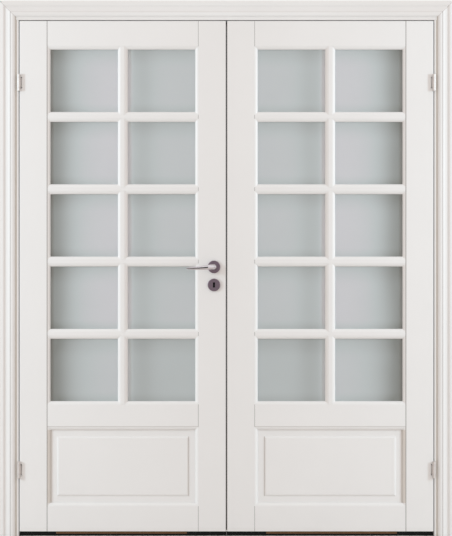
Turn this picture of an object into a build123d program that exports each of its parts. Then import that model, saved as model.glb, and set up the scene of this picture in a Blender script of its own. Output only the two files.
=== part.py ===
"""A pair of white panelled and glazed french doors in their frame, with casings on both sides.

X runs to the right, Y from front to back and Z up, in millimetres. The origin is under the
middle of the frame, at floor level. Both leaves open towards the front.
"""

from build123d import *
from math import cos, radians, sin
import os

# Leaves, as the standard 825 by 2040 size
LEAF_WIDTH = 825.0
LEAF_HEIGHT = 2040.0
LEAF_THICKNESS = 40.0
STILE_FACE = 110.0
TOP_RAIL_FACE = 101.0
LOCK_RAIL_FACE = 89.0
BOTTOM_RAIL_FACE = 101.0
BAR_FACE = 14.0
PANE_ROWS = 5
PANEL_OPENING = 291.0
LEAF_ARRIS = 2.0
JOINT_ARRIS = 0.8

# Moulded inner edges, glass and beads
MOULD_WIDTH = 13.0
MOULD_QUIRK = 1.2
MOULD_DROP = 9.0
MOULD_BULGE = 1.9
GLASS_SETBACK = 14.0
GLASS_THICKNESS = 4.0
GLASS_CLEARANCE = 2.0

# Raised panel and the groove that holds it
PANEL_SETBACK = 13.0
PANEL_GROOVE_DEPTH = 10.0
PANEL_EDGE_CLEARANCE = 1.0
PANEL_FACE_CLEARANCE = 0.2
PANEL_MARGIN = 25.0
PANEL_SLOPE_WIDTH = 7.5
PANEL_FIELD_RISE = 5.0

# Tenons of the three rails
TENON_LENGTH = 45.0
TENON_THICKNESS = 12.0
TENON_SHOULDER = 14.0
TENON_CLEARANCE = 0.25

# Frame and gaps
FRAME_DEPTH = 92.0
FRAME_THICKNESS = 29.0
STOP_HEIGHT = 13.0
STOP_SETBACK = 2.0
FRAME_ARRIS = 3.0
STOP_ARRIS = 2.0
SEAL_WIDTH = 8.0
SEAL_CLEARANCE = 0.3
SEAL_KERF_WIDTH = 3.0
SEAL_KERF_DEPTH = 5.0
HEAD_HOUSING = 10.0
LEAF_GAP = 3.0
MEETING_GAP = 4.0
FLOOR_GAP = 18.0
FIXING_RADIUS = 5.0
FIXING_SETBACK = 21.0
FIXING_FROM_FLOOR = 150.0
FIXING_FROM_TOP = 160.0
INNER_FIXING_SPACING = 580.0

# Casings
CASING_WIDTH = 62.0
CASING_THICKNESS = 12.0
CASING_REVEAL = 15.0
CASING_BAND = 15.0
CASING_BAND_EDGE = 1.5
CASING_VALLEY = 23.5
CASING_VALLEY_THICKNESS = 6.5
CASING_QUIRK = 42.5
CASING_QUIRK_STEP = 1.0
CASING_COVE_THICKNESS = 10.5
CASING_EDGE_THICKNESS = 4.5
CASING_OUTER_LAND = 14.0
CASING_RELIEF = 1.5

# Hinges, two to a leaf
HINGE_FROM_END = 247.0
KNUCKLE_RADIUS = 6.5
KNUCKLE_HEIGHT = 68.0
HOOK_HEIGHT = 38.0
HOOK_CLEARANCE = 0.4
KNUCKLE_CHAMFER = 1.0
PIN_RADIUS = 3.5
PIN_CLEARANCE = 0.05
PIN_OUTBOARD = 2.0
PIN_FORWARD = 7.5
HINGE_PLATE_THICKNESS = 2.5
HINGE_PLATE_DEPTH = 28.0
HINGE_PLATE_SETBACK = 3.0
HOOK_ARM_WIDTH = 7.5
NOTCH_WIDTH = 9.5
NOTCH_HEIGHT = 44.0

# Mortise lock in the left leaf
SPINDLE_HEIGHT = 1075.0
LOCK_BACKSET = 48.0
KEY_BELOW_SPINDLE = 72.0
CASE_DEPTH = 72.0
CASE_THICKNESS = 15.0
CASE_ABOVE_SPINDLE = 45.0
CASE_BELOW_KEY = 35.0
CASE_CLEARANCE = 0.5
FOREND_HEIGHT = 235.0
FOREND_WIDTH = 20.0
FOREND_THICKNESS = 3.0
BOLT_CLEARANCE = 0.3
LATCH_ABOVE_SPINDLE = 22.0
LATCH_HEIGHT = 20.0
LATCH_THICKNESS = 10.0
LATCH_LENGTH = 30.0
LATCH_BEVEL = 6.0
LATCH_THROW = 12.0
DEADBOLT_ABOVE_KEY = 24.0
DEADBOLT_HEIGHT = 34.0
DEADBOLT_THICKNESS = 9.0
DEADBOLT_LENGTH = 33.0
DEADBOLT_THROW = 18.0
STRIKE_HEIGHT = 170.0
STRIKE_WIDTH = 20.0
STRIKE_THICKNESS = 2.5
STRIKE_CLEARANCE = 1.5

# Levers, roses and escutcheons
LEVER_REACH = 60.0
LEVER_LENGTH = 110.0
LEVER_DROOP = 5.0
LEVER_TIP_THICKNESS = 6.0
LEVER_TIP_HEIGHT = 7.0
LEVER_TIP_ROUNDING = 2.0
LEVER_STEPS = 9
LEVER_ELBOW_STEPS = 3
NECK_RADIUS = 10.5
NECK_STRAIGHT = 26.0
NECK_CLEARANCE = 0.4
NECK_SINK = 2.0
SPINDLE_SIDE = 8.0
SPINDLE_CLEARANCE = 0.1
SPINDLE_SOCKET = 22.0
ROSE_RADIUS = 25.0
ROSE_THICKNESS = 8.0
ROSE_BEVEL = 2.0
SPINDLE_BORE_RADIUS = 11.5
FOLLOWER_RADIUS = 6.4
KEYHOLE_WIDTH = 7.5
KEYHOLE_HEIGHT = 19.0
KEYWAY_CLEARANCE = 1.0

# Flush bolts in the right leaf
FLUSH_ROD_RADIUS = 4.0
FLUSH_ROD_LENGTH = 230.0
FLUSH_ROD_INSET = 11.0
FLUSH_ROD_CLEARANCE = 0.4
FLUSH_PLATE_HEIGHT = 150.0
FLUSH_PLATE_WIDTH = 18.0
FLUSH_PLATE_THICKNESS = 3.0
FLUSH_PLATE_FROM_END = 90.0
FLUSH_SLIDER_HEIGHT = 16.0
FLUSH_SLIDER_WIDTH = 7.0
FLUSH_SLIDER_CLEARANCE = 0.5
TOP_BOLT_THROW = 18.0
BOTTOM_BOLT_THROW = 30.0
SOCKET_CLEARANCE = 2.0
SOCKET_SIDE_CLEARANCE = 6.0
SOCKET_SPARE = 6.0
KEEPER_LENGTH = 60.0
KEEPER_WIDTH = 20.0
KEEPER_THICKNESS = 3.0

# Places that follow from the sizes
PAST = 1.0
FACE_Y = -(FRAME_DEPTH + CASING_THICKNESS - LEVER_REACH) / 2
BACK_Y = FACE_Y + LEAF_THICKNESS
MID_Y = (FACE_Y + BACK_Y) / 2
LEAF_BOTTOM = FLOOR_GAP
LEAF_TOP = LEAF_BOTTOM + LEAF_HEIGHT
MEETING_X = -MEETING_GAP / 2
HINGE_X = MEETING_X - LEAF_WIDTH
REBATE_X = HINGE_X - LEAF_GAP
JAMB_X = REBATE_X - FRAME_THICKNESS
HEAD_Z = LEAF_TOP + LEAF_GAP
FRAME_TOP = HEAD_Z + FRAME_THICKNESS
STOP_Y = BACK_Y + STOP_SETBACK
FRAME_BACK = FACE_Y + FRAME_DEPTH
CASING_X = REBATE_X - CASING_REVEAL
CASING_Z = HEAD_Z + CASING_REVEAL

# The left leaf's sight lines: flat faces end at the moulding, glass and panel show past it
FLAT_LEFT = HINGE_X + STILE_FACE
FLAT_RIGHT = MEETING_X - STILE_FACE
SIGHT_LEFT = FLAT_LEFT + MOULD_WIDTH
SIGHT_RIGHT = FLAT_RIGHT - MOULD_WIDTH
PANEL_BOTTOM = LEAF_BOTTOM + BOTTOM_RAIL_FACE + MOULD_WIDTH
PANEL_TOP = PANEL_BOTTOM + PANEL_OPENING
LOCK_RAIL_MIDDLE = PANEL_TOP + MOULD_WIDTH + LOCK_RAIL_FACE / 2
GLASS_BOTTOM = PANEL_TOP + 2 * MOULD_WIDTH + LOCK_RAIL_FACE
GLASS_TOP = LEAF_TOP - TOP_RAIL_FACE - MOULD_WIDTH
BAR_WIDTH = BAR_FACE + 2 * MOULD_WIDTH
PANE_HEIGHT = (GLASS_TOP - GLASS_BOTTOM - (PANE_ROWS - 1) * BAR_WIDTH) / PANE_ROWS
PANE_WIDTH = (SIGHT_RIGHT - SIGHT_LEFT - BAR_WIDTH) / 2
PANE_STARTS_Z = [GLASS_BOTTOM + row * (PANE_HEIGHT + BAR_WIDTH) for row in range(PANE_ROWS)]
PANE_STARTS_X = [SIGHT_LEFT, SIGHT_LEFT + PANE_WIDTH + BAR_WIDTH]

# Hinge, lock and bolt centres
PIN_X = HINGE_X - PIN_OUTBOARD
PIN_Y = FACE_Y - PIN_FORWARD
NOTCH_DEPTH = HINGE_PLATE_SETBACK + HINGE_PLATE_THICKNESS
HINGE_LEVELS = {"lower": LEAF_BOTTOM + HINGE_FROM_END, "upper": LEAF_TOP - HINGE_FROM_END}
SPINDLE_X = MEETING_X - LOCK_BACKSET
KEY_HEIGHT = SPINDLE_HEIGHT - KEY_BELOW_SPINDLE
LATCH_Z = SPINDLE_HEIGHT + LATCH_ABOVE_SPINDLE
DEADBOLT_Z = KEY_HEIGHT + DEADBOLT_ABOVE_KEY
FLUSH_ROD_X = -MEETING_X + FLUSH_ROD_INSET


def block(x_range, y_range, z_range):
    """A box between two values on each axis."""
    spans = [sorted(pair) for pair in (x_range, y_range, z_range)]
    sizes = [high - low for low, high in spans]
    centre = Vector(*[(low + high) / 2 for low, high in spans])
    return Pos(centre) * Box(*sizes)


def around(centre, size):
    """The two ends of a length about its middle."""
    return centre - size / 2, centre + size / 2


def upright_rod(x, y, radius, z_range):
    """A cylinder along Z."""
    low, high = sorted(z_range)
    return Pos(x, y, (low + high) / 2) * Cylinder(radius, high - low)


def cross_rod(x, z, radius, y_range):
    """A cylinder along Y."""
    low, high = sorted(y_range)
    return Pos(x, (low + high) / 2, z) * Rot(90, 0, 0) * Cylinder(radius, high - low)


def run_along(face, origin, across, into, run):
    """A section drawn as (across, into) and run along a direction from its origin."""
    normal = Vector(*across).cross(Vector(*into))
    plane = Plane(origin=origin, x_dir=across, z_dir=normal)
    return extrude(plane * face, amount=Vector(*run).dot(normal))


def mirrored(shape):
    """The same piece on the other side of the frame."""
    return mirror(shape, about=Plane.YZ)


def to_back(shape):
    """A front fitting turned to the leaf's back face."""
    return mirror(shape, about=Plane.XZ.offset(-MID_Y))


def mould_curve():
    """The rounded moulding from its quirk at the flat face to the sight edge."""
    start = Vector(MOULD_WIDTH, MOULD_QUIRK)
    end = Vector(0, MOULD_DROP)
    chord = end - start
    outward = Vector(-abs(chord.Y), -abs(chord.X)).normalized()
    middle = (start + end) * 0.5 + outward * MOULD_BULGE
    return ThreePointArc(start, middle, end)


def mould_waste():
    """What the cutter takes off a square edge to leave the moulding."""
    curve = mould_curve()
    rest = Polyline(curve @ 1, (-PAST, MOULD_DROP), (-PAST, -PAST), (MOULD_WIDTH, -PAST), curve @ 0)
    return make_face([curve, rest])


def bead_section():
    """A glazing bead, drawn from the sight edge and from the leaf's back face."""
    depth = LEAF_THICKNESS - GLASS_SETBACK - GLASS_THICKNESS
    curve = mould_curve()
    rest = Polyline(curve @ 1, (0, depth), (MOULD_WIDTH, depth), curve @ 0)
    return make_face([curve, rest])


def slot_section(width, near, far):
    """A rebate or groove: its width into the wood, and its two depths from the face."""
    size = (width + PAST, far - near)
    return Pos((width - PAST) / 2, (near + far) / 2) * Rectangle(*size)


def edge_cuts(sight, wood, along, low, high, kind):
    """Cuts along one inner edge of a leaf member.

    sight is the place of the sight line, wood is +1 or -1 towards the wood, along is the
    axis that the edge runs on, and kind is glass or panel.
    """
    if along == "z":
        place = lambda y: (sight, y, low)
        across, run = (wood, 0, 0), (0, 0, high - low)
    else:
        place = lambda y: (low, y, sight)
        across, run = (0, 0, wood), (high - low, 0, 0)
    front, back = (0, 1, 0), (0, -1, 0)
    cuts = [run_along(mould_waste(), place(FACE_Y), across, front, run)]
    if kind == "glass":
        rebate = slot_section(MOULD_WIDTH, GLASS_SETBACK, LEAF_THICKNESS + PAST)
        cuts.append(run_along(rebate, place(FACE_Y), across, front, run))
    else:
        near = PANEL_SETBACK - PANEL_FACE_CLEARANCE
        groove = slot_section(PANEL_GROOVE_DEPTH, near, LEAF_THICKNESS - near)
        cuts.append(run_along(groove, place(FACE_Y), across, front, run))
        cuts.append(run_along(mould_waste(), place(BACK_Y), across, back, run))
    return cuts


def leaf_block(x_range, z_range):
    """A squared piece of the leaf, through its whole thickness."""
    return block(x_range, (FACE_Y, BACK_Y), z_range)


def soften(shape, picker):
    """Rounds the edges that the picker accepts, by where their middle is, to the leaf's arris."""
    return fillet([edge for edge in shape.edges() if picker(edge.center())], LEAF_ARRIS)


def tenon(side, z_range):
    """A rail's tenon into the hinge stile (-1) or the meeting stile (+1), and its mortise."""
    flat = FLAT_LEFT if side < 0 else FLAT_RIGHT
    low, high = z_range[0] + TENON_SHOULDER, z_range[1] - TENON_SHOULDER
    spare = TENON_CLEARANCE
    tongue = block((flat, flat + side * TENON_LENGTH), around(MID_Y, TENON_THICKNESS), (low, high))
    mortise = block(
        (flat - side * MOULD_WIDTH, flat + side * (TENON_LENGTH + PAST)),
        around(MID_Y, TENON_THICKNESS + 2 * spare),
        (low - spare, high + spare),
    )
    return tongue, mortise


RAIL_FACES = {
    "top_rail": (GLASS_TOP + MOULD_WIDTH, LEAF_TOP),
    "lock_rail": (PANEL_TOP + MOULD_WIDTH, GLASS_BOTTOM - MOULD_WIDTH),
    "bottom_rail": (LEAF_BOTTOM, PANEL_BOTTOM - MOULD_WIDTH),
}


def stile(side):
    """The left leaf's hinge stile (-1) or meeting stile (+1), with its mortises."""
    edge = HINGE_X if side < 0 else MEETING_X
    sight = SIGHT_LEFT if side < 0 else SIGHT_RIGHT
    shape = leaf_block((edge, sight), (LEAF_BOTTOM, LEAF_TOP))
    middle = (edge + sight) / 2
    shape = soften(shape, lambda at: abs(at.X - edge) < PAST or abs(at.X - middle) < PAST)
    cuts = edge_cuts(sight, side, "z", LEAF_BOTTOM - PAST, LOCK_RAIL_MIDDLE, "panel")
    cuts += edge_cuts(sight, side, "z", LOCK_RAIL_MIDDLE, LEAF_TOP + PAST, "glass")
    cuts += [tenon(side, z_range)[1] for z_range in RAIL_FACES.values()]
    return shape - cuts


def rail(name, stiles):
    """A rail between the stiles, coped over their mouldings and tenoned into them."""
    low, high = RAIL_FACES[name]
    cuts = []
    if name != "top_rail":
        kind = "glass" if name == "lock_rail" else "panel"
        high += MOULD_WIDTH
        cuts += edge_cuts(high, -1, "x", FLAT_LEFT - PAST, FLAT_RIGHT + PAST, kind)
    if name != "bottom_rail":
        kind = "glass" if name == "top_rail" else "panel"
        low -= MOULD_WIDTH
        cuts += edge_cuts(low, 1, "x", FLAT_LEFT - PAST, FLAT_RIGHT + PAST, kind)
    shape = leaf_block((FLAT_LEFT, FLAT_RIGHT), (low, high))
    ends = shape.edges().filter_by(Axis.Z)
    shape = chamfer(ends, JOINT_ARRIS)
    outer = LEAF_TOP if name == "top_rail" else LEAF_BOTTOM
    if name != "lock_rail":
        middle_x = (FLAT_LEFT + FLAT_RIGHT) / 2
        shape = soften(shape, lambda at: abs(at.Z - outer) < PAST and abs(at.X - middle_x) < PAST)
    shape = shape - cuts - stiles
    for side in (-1, 1):
        shape += tenon(side, RAIL_FACES[name])[0]
    return shape


def bar(x_range, z_range, along, neighbours):
    """A glazing bar with a moulding and a rebate on both edges, coped over its neighbours."""
    shape = leaf_block(x_range, z_range)
    ends = shape.edges().filter_by(Axis.Z if along == "x" else Axis.X)
    shape = chamfer(ends, JOINT_ARRIS)
    if along == "x":
        sights, run = z_range, x_range
    else:
        sights, run = x_range, z_range
    low, high = run[0] - PAST, run[1] + PAST
    cuts = edge_cuts(sights[0], 1, along, low, high, "glass")
    cuts += edge_cuts(sights[1], -1, along, low, high, "glass")
    return shape - cuts - neighbours


def cross_bars(stiles):
    """The bars between the rows of panes, from the lowest to the highest."""
    bars = []
    for start in PANE_STARTS_Z[1:]:
        bars.append(bar((FLAT_LEFT, FLAT_RIGHT), (start - BAR_WIDTH, start), "x", stiles))
    return bars


def upright_bars(neighbours):
    """The short bars between the two columns of panes, one in each row."""
    x_range = (PANE_STARTS_X[1] - BAR_WIDTH, PANE_STARTS_X[1])
    bars = []
    for start in PANE_STARTS_Z:
        z_range = (start - MOULD_WIDTH, start + PANE_HEIGHT + MOULD_WIDTH)
        bars.append(bar(x_range, z_range, "z", neighbours))
    return Compound(children=bars)


def panes():
    """Frosted glass, one pane to an opening, set in the rebates with room at the edges."""
    lap = MOULD_WIDTH - GLASS_CLEARANCE
    y_range = (FACE_Y + GLASS_SETBACK, FACE_Y + GLASS_SETBACK + GLASS_THICKNESS)
    sheets = []
    for z in PANE_STARTS_Z:
        for x in PANE_STARTS_X:
            x_range = (x - lap, x + PANE_WIDTH + lap)
            sheets.append(block(x_range, y_range, (z - lap, z + PANE_HEIGHT + lap)))
    return Compound(children=sheets)


def mitred_strip(section, side, opening, width, y, into):
    """One side of a mitred surround about an opening, its section drawn from the opening outwards."""
    left, right, bottom, top = opening
    corners = {
        "left": [(left, bottom), (left, top), (left - width, top + width), (left - width, bottom - width)],
        "right": [(right, bottom), (right, top), (right + width, top + width), (right + width, bottom - width)],
        "top": [(left, top), (right, top), (right + width, top + width), (left - width, top + width)],
        "bottom": [(left, bottom), (right, bottom), (right + width, bottom - width), (left - width, bottom - width)],
    }
    tall, wide = (0, 0, top - bottom + 2 * width), (right - left + 2 * width, 0, 0)
    runs = {
        "left": ((left, y, bottom - width), (-1, 0, 0), tall),
        "right": ((right, y, bottom - width), (1, 0, 0), tall),
        "top": ((left - width, y, top), (0, 0, 1), wide),
        "bottom": ((left - width, y, bottom), (0, 0, -1), wide),
    }
    origin, across, run = runs[side]
    strip = run_along(section, origin, across, into, run)
    outline = make_face(Polyline(*corners[side], close=True))
    cutter = extrude(Plane.XZ * outline, amount=FRAME_DEPTH * 2, both=True)
    return strip & cutter


def glazing_beads():
    """Four mitred beads behind each pane."""
    beads = []
    section = bead_section()
    for z in PANE_STARTS_Z:
        for x in PANE_STARTS_X:
            opening = (x, x + PANE_WIDTH, z, z + PANE_HEIGHT)
            for side in ("left", "right", "top", "bottom"):
                beads.append(mitred_strip(section, side, opening, MOULD_WIDTH, BACK_Y, (0, -1, 0)))
    return Compound(children=beads)


def raised_panel():
    """The lower panel: a thin margin that slides in the grooves, and a raised field each side."""
    lap = PANEL_GROOVE_DEPTH - PANEL_EDGE_CLEARANCE
    board = block(
        (SIGHT_LEFT - lap, SIGHT_RIGHT + lap),
        (FACE_Y + PANEL_SETBACK, BACK_Y - PANEL_SETBACK),
        (PANEL_BOTTOM - lap, PANEL_TOP + lap),
    )
    width = SIGHT_RIGHT - SIGHT_LEFT - 2 * PANEL_MARGIN
    height = PANEL_OPENING - 2 * PANEL_MARGIN
    centre_x, centre_z = (SIGHT_LEFT + SIGHT_RIGHT) / 2, (PANEL_BOTTOM + PANEL_TOP) / 2
    foot = Plane(origin=(centre_x, FACE_Y + PANEL_SETBACK, centre_z), x_dir=(1, 0, 0), z_dir=(0, -1, 0))
    base = foot * Rectangle(width, height)
    crown = foot.offset(PANEL_FIELD_RISE) * Rectangle(
        width - 2 * PANEL_SLOPE_WIDTH, height - 2 * PANEL_SLOPE_WIDTH
    )
    field = loft([base, crown])
    return board + field + to_back(field)


def frame_section():
    """Jamb or head in plan: from the rebate face outwards, and from the front face back."""
    outline = Polyline(
        (0, 0),
        (FRAME_THICKNESS, 0),
        (FRAME_THICKNESS, FRAME_DEPTH),
        (-STOP_HEIGHT, FRAME_DEPTH),
        (-STOP_HEIGHT, STOP_Y - FACE_Y),
        (0, STOP_Y - FACE_Y),
        close=True,
    )
    face = make_face(outline)
    face = fillet(face.vertices().sort_by_distance((0, 0))[0], FRAME_ARRIS)
    tips = [v for v in face.vertices() if abs(v.X + STOP_HEIGHT) < PAST]
    return fillet(tips, STOP_ARRIS)


def seal_section():
    """The rubber seal on the stop, with the tongue that holds it in its kerf."""
    lip = STOP_SETBACK - SEAL_CLEARANCE
    middle = (-STOP_HEIGHT / 2, STOP_Y - FACE_Y)
    pad = Pos(middle[0], middle[1] - lip / 2) * Rectangle(SEAL_WIDTH, lip)
    return pad + Pos(middle[0], middle[1] + SEAL_KERF_DEPTH / 2) * Rectangle(SEAL_KERF_WIDTH, SEAL_KERF_DEPTH)


def frame_seals():
    """The seal in three lengths, up each jamb and along the head between them."""
    low_end = (REBATE_X, FACE_Y, 0)
    left = run_along(seal_section(), low_end, (-1, 0, 0), (0, 1, 0), (0, 0, HEAD_Z - STOP_HEIGHT / 2 - SEAL_WIDTH / 2))
    reach = REBATE_X + STOP_HEIGHT / 2 - SEAL_WIDTH / 2
    head = run_along(seal_section(), (reach, FACE_Y, HEAD_Z), (0, 0, 1), (0, 1, 0), (-2 * reach, 0, 0))
    return left, mirrored(left), head


def left_jamb(seals):
    """The left side of the frame, housed for the head and bored for its fixings."""
    shape = run_along(frame_section(), (REBATE_X, FACE_Y, 0), (-1, 0, 0), (0, 1, 0), (0, 0, FRAME_TOP))
    frame_depth = (FACE_Y - PAST, FRAME_BACK + PAST)
    shape -= block((REBATE_X, REBATE_X - HEAD_HOUSING), frame_depth, (HEAD_Z, FRAME_TOP + PAST))
    middle = (REBATE_X + JAMB_X) / 2
    outer = (FIXING_FROM_FLOOR, FRAME_TOP - FIXING_FROM_TOP)
    for z in outer + around(sum(outer) / 2, INNER_FIXING_SPACING):
        hole = Rot(0, 90, 0) * Cylinder(FIXING_RADIUS, 2 * FRAME_THICKNESS)
        shape -= Pos(middle, FACE_Y + FIXING_SETBACK, z) * hole
    for level in HINGE_LEVELS.values():
        shape -= hinge_frame_plate(level)
    return shape - seals


def head_jamb(jambs, seals):
    """The head of the frame, housed in both jambs, with the top bolt's socket."""
    reach = REBATE_X - HEAD_HOUSING
    shape = run_along(frame_section(), (reach, FACE_Y, HEAD_Z), (0, 0, 1), (0, 1, 0), (-2 * reach, 0, 0))
    return shape - jambs - seals - block(*keeper_ranges()) - head_bolt_socket()


def casing_section():
    """A casing from its inner edge outwards: nosing, quirk, cove and outer band.

    Its back lies on the frame's edge and, past a shallow relief, on the wall at the outer edge.
    """
    def at(from_outside, thickness):
        return (CASING_WIDTH - from_outside, thickness)

    quirk_foot = at(CASING_QUIRK, CASING_COVE_THICKNESS - CASING_QUIRK_STEP)
    nosing_bulge = ((CASING_WIDTH - CASING_QUIRK) * 0.42, CASING_COVE_THICKNESS - 0.9)
    nosing = ThreePointArc((0, CASING_EDGE_THICKNESS), nosing_bulge, quirk_foot)
    quirk = Line(quirk_foot, at(CASING_QUIRK, CASING_COVE_THICKNESS))
    cove_middle = at((CASING_QUIRK + CASING_VALLEY) / 2, (CASING_VALLEY_THICKNESS + CASING_COVE_THICKNESS) / 2 - 1.2)
    cove = ThreePointArc(quirk @ 1, cove_middle, at(CASING_VALLEY, CASING_VALLEY_THICKNESS))
    step_middle = at((CASING_VALLEY + CASING_BAND) / 2, (CASING_VALLEY_THICKNESS + CASING_THICKNESS) / 2 + 0.9)
    step = ThreePointArc(cove @ 1, step_middle, at(CASING_BAND, CASING_THICKNESS))
    frame_land = FRAME_THICKNESS - CASING_REVEAL
    rest = Polyline(
        step @ 1,
        at(CASING_BAND_EDGE, CASING_THICKNESS),
        at(0, CASING_THICKNESS - CASING_BAND_EDGE),
        at(0, 0),
        at(CASING_OUTER_LAND, 0),
        at(CASING_OUTER_LAND, CASING_RELIEF),
        (frame_land, CASING_RELIEF),
        (frame_land, 0),
        (0, 0),
        nosing @ 0,
    )
    return make_face([nosing, quirk, cove, step, rest])


def casings():
    """Three mitred casings on each side of the wall, named by side."""
    opening = (CASING_X, -CASING_X, 0, CASING_Z)
    above_floor = block((2 * JAMB_X, -2 * JAMB_X), (-2 * FRAME_DEPTH, 2 * FRAME_DEPTH), (0, 2 * FRAME_TOP))
    pieces = {}
    for name, y, into in (("front", FACE_Y, (0, -1, 0)), ("back", FRAME_BACK, (0, 1, 0))):
        for side, edge in (("left", "left"), ("right", "right"), ("head", "top")):
            strip = mitred_strip(casing_section(), edge, opening, CASING_WIDTH, y, into)
            pieces[f"{name}_{side}_casing"] = strip & above_floor
    return pieces


def hinge_frame_plate(level):
    """The left frame hinge's plate, let in flush to the jamb's rebate."""
    return block(
        (REBATE_X, REBATE_X - HINGE_PLATE_THICKNESS),
        (FACE_Y, FACE_Y + HINGE_PLATE_DEPTH),
        around(level, KNUCKLE_HEIGHT),
    )


def hinge_frame_part(level):
    """A left frame hinge: a plate with two ears, which hold the pin."""
    ear_height = (KNUCKLE_HEIGHT - HOOK_HEIGHT) / 2 - HOOK_CLEARANCE
    shape = hinge_frame_plate(level)
    for sign in (-1, 1):
        end = level + sign * KNUCKLE_HEIGHT / 2
        z_range = (end, end - sign * ear_height)
        knuckle = upright_rod(PIN_X, PIN_Y, KNUCKLE_RADIUS, z_range)
        rim = knuckle.edges().group_by(Axis.Z)[0 if sign < 0 else -1]
        knuckle = chamfer(rim, KNUCKLE_CHAMFER)
        strap = block((REBATE_X, REBATE_X - HINGE_PLATE_THICKNESS), (PIN_Y, FACE_Y), z_range)
        shape += knuckle + strap
    return shape - upright_rod(PIN_X, PIN_Y, PIN_RADIUS, around(level, KNUCKLE_HEIGHT + PAST))


def hinge_leaf_plate(level):
    """The left leaf hinge's plate, let in flush to the leaf's edge."""
    return block(
        (HINGE_X, HINGE_X + HINGE_PLATE_THICKNESS),
        (FACE_Y + HINGE_PLATE_SETBACK, FACE_Y + HINGE_PLATE_SETBACK + HINGE_PLATE_DEPTH),
        around(level, KNUCKLE_HEIGHT),
    )


def hinge_notch(level):
    """The notch in the leaf's front arris that the hook's arm passes through."""
    return block(
        (HINGE_X - PAST, HINGE_X + NOTCH_WIDTH),
        (FACE_Y - PAST, FACE_Y + NOTCH_DEPTH),
        around(level, NOTCH_HEIGHT),
    )


def hinge_leaf_part(level):
    """A left leaf hinge: a plate and an arm that ends in the hook round the pin."""
    z_range = around(level, HOOK_HEIGHT)
    shape = hinge_leaf_plate(level)
    arm = (PIN_Y + PIN_RADIUS, FACE_Y + NOTCH_DEPTH)
    shape += block((HINGE_X, HINGE_X + HOOK_ARM_WIDTH), arm, z_range)
    shape += upright_rod(PIN_X, PIN_Y, KNUCKLE_RADIUS, z_range)
    return shape - upright_rod(PIN_X, PIN_Y, PIN_RADIUS + PIN_CLEARANCE, around(level, KNUCKLE_HEIGHT))


def hinge_pins():
    """One pin to each hinge, held by the frame part's two ears."""
    pins = []
    for level in HINGE_LEVELS.values():
        pin = upright_rod(PIN_X, PIN_Y, PIN_RADIUS, around(level, KNUCKLE_HEIGHT))
        pins += [pin, mirrored(pin)]
    return Compound(children=pins)


def case_z_range():
    """The lock case's lowest and highest point."""
    return KEY_HEIGHT - CASE_BELOW_KEY, SPINDLE_HEIGHT + CASE_ABOVE_SPINDLE


def forend_ranges(spare=0.0):
    """The box of the lock's forend, flush with the leaf's meeting edge."""
    return (
        (MEETING_X, MEETING_X - FOREND_THICKNESS),
        around(MID_Y, FOREND_WIDTH + 2 * spare),
        around(sum(case_z_range()) / 2, FOREND_HEIGHT + 2 * spare),
    )


def case_ranges(spare=0.0):
    """The box of the lock case behind the forend."""
    low, high = case_z_range()
    return (
        (MEETING_X - FOREND_THICKNESS, MEETING_X - CASE_DEPTH - spare),
        around(MID_Y, CASE_THICKNESS + 2 * spare),
        (low - spare, high + spare),
    )


def bolt_ranges(z, height, thickness, length, spare=0.0):
    """The box of a bolt whose nose is flush with the forend."""
    return (
        (MEETING_X, MEETING_X - length - spare),
        around(MID_Y, thickness + 2 * spare),
        around(z, height + 2 * spare),
    )


LATCH = (LATCH_Z, LATCH_HEIGHT, LATCH_THICKNESS, LATCH_LENGTH)
DEADBOLT = (DEADBOLT_Z, DEADBOLT_HEIGHT, DEADBOLT_THICKNESS, DEADBOLT_LENGTH)


def latch_bolt():
    """The spring bolt, bevelled on its closing side."""
    shape = block(*bolt_ranges(*LATCH))
    nose = [e for e in shape.edges().filter_by(Axis.Z) if e.center().X > MEETING_X - PAST]
    return chamfer(nose, LATCH_THICKNESS / 2 - PAST, LATCH_BEVEL)


def dead_bolt():
    """The square bolt that the key throws."""
    shape = block(*bolt_ranges(*DEADBOLT))
    nose = shape.faces().sort_by(Axis.X)[-1].edges()
    return chamfer(nose, JOINT_ARRIS)


def keyhole(width, height, y_range):
    """An upright keyhole with round ends, through Y."""
    outline = SlotOverall(height, width, rotation=90)
    low, high = sorted(y_range)
    plane = Plane(origin=(SPINDLE_X, high, KEY_HEIGHT), x_dir=(1, 0, 0), z_dir=(0, -1, 0))
    return extrude(plane * outline, amount=high - low)


def lock_case():
    """The mortise lock's closed case and forend, with its bolt ways, follower and keyway."""
    shape = block(*forend_ranges()) + block(*case_ranges())
    for bolt in (LATCH, DEADBOLT):
        way = bolt_ranges(*bolt, spare=BOLT_CLEARANCE)
        shape -= block((MEETING_X + PAST, way[0][1]), way[1], way[2])
    through = around(MID_Y, CASE_THICKNESS + 2 * PAST)
    shape -= cross_rod(SPINDLE_X, SPINDLE_HEIGHT, FOLLOWER_RADIUS, through)
    return shape - keyhole(KEYHOLE_WIDTH, KEYHOLE_HEIGHT, through)


def lock_cuts():
    """What is cut out of the left meeting stile for the lock, its spindle and its key."""
    cuts = [block(*case_ranges(CASE_CLEARANCE)), block(*forend_ranges())]
    through = (FACE_Y - PAST, BACK_Y + PAST)
    cuts.append(cross_rod(SPINDLE_X, SPINDLE_HEIGHT, SPINDLE_BORE_RADIUS, through))
    width, height = KEYHOLE_WIDTH + 2 * KEYWAY_CLEARANCE, KEYHOLE_HEIGHT + 2 * KEYWAY_CLEARANCE
    cuts.append(keyhole(width, height, through))
    return cuts


def strike_ranges():
    """The box of the strike plate, flush with the right leaf's meeting edge."""
    return (
        (-MEETING_X, -MEETING_X + STRIKE_THICKNESS),
        around(MID_Y, STRIKE_WIDTH),
        around((LATCH_Z + DEADBOLT_Z) / 2, STRIKE_HEIGHT),
    )


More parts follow.
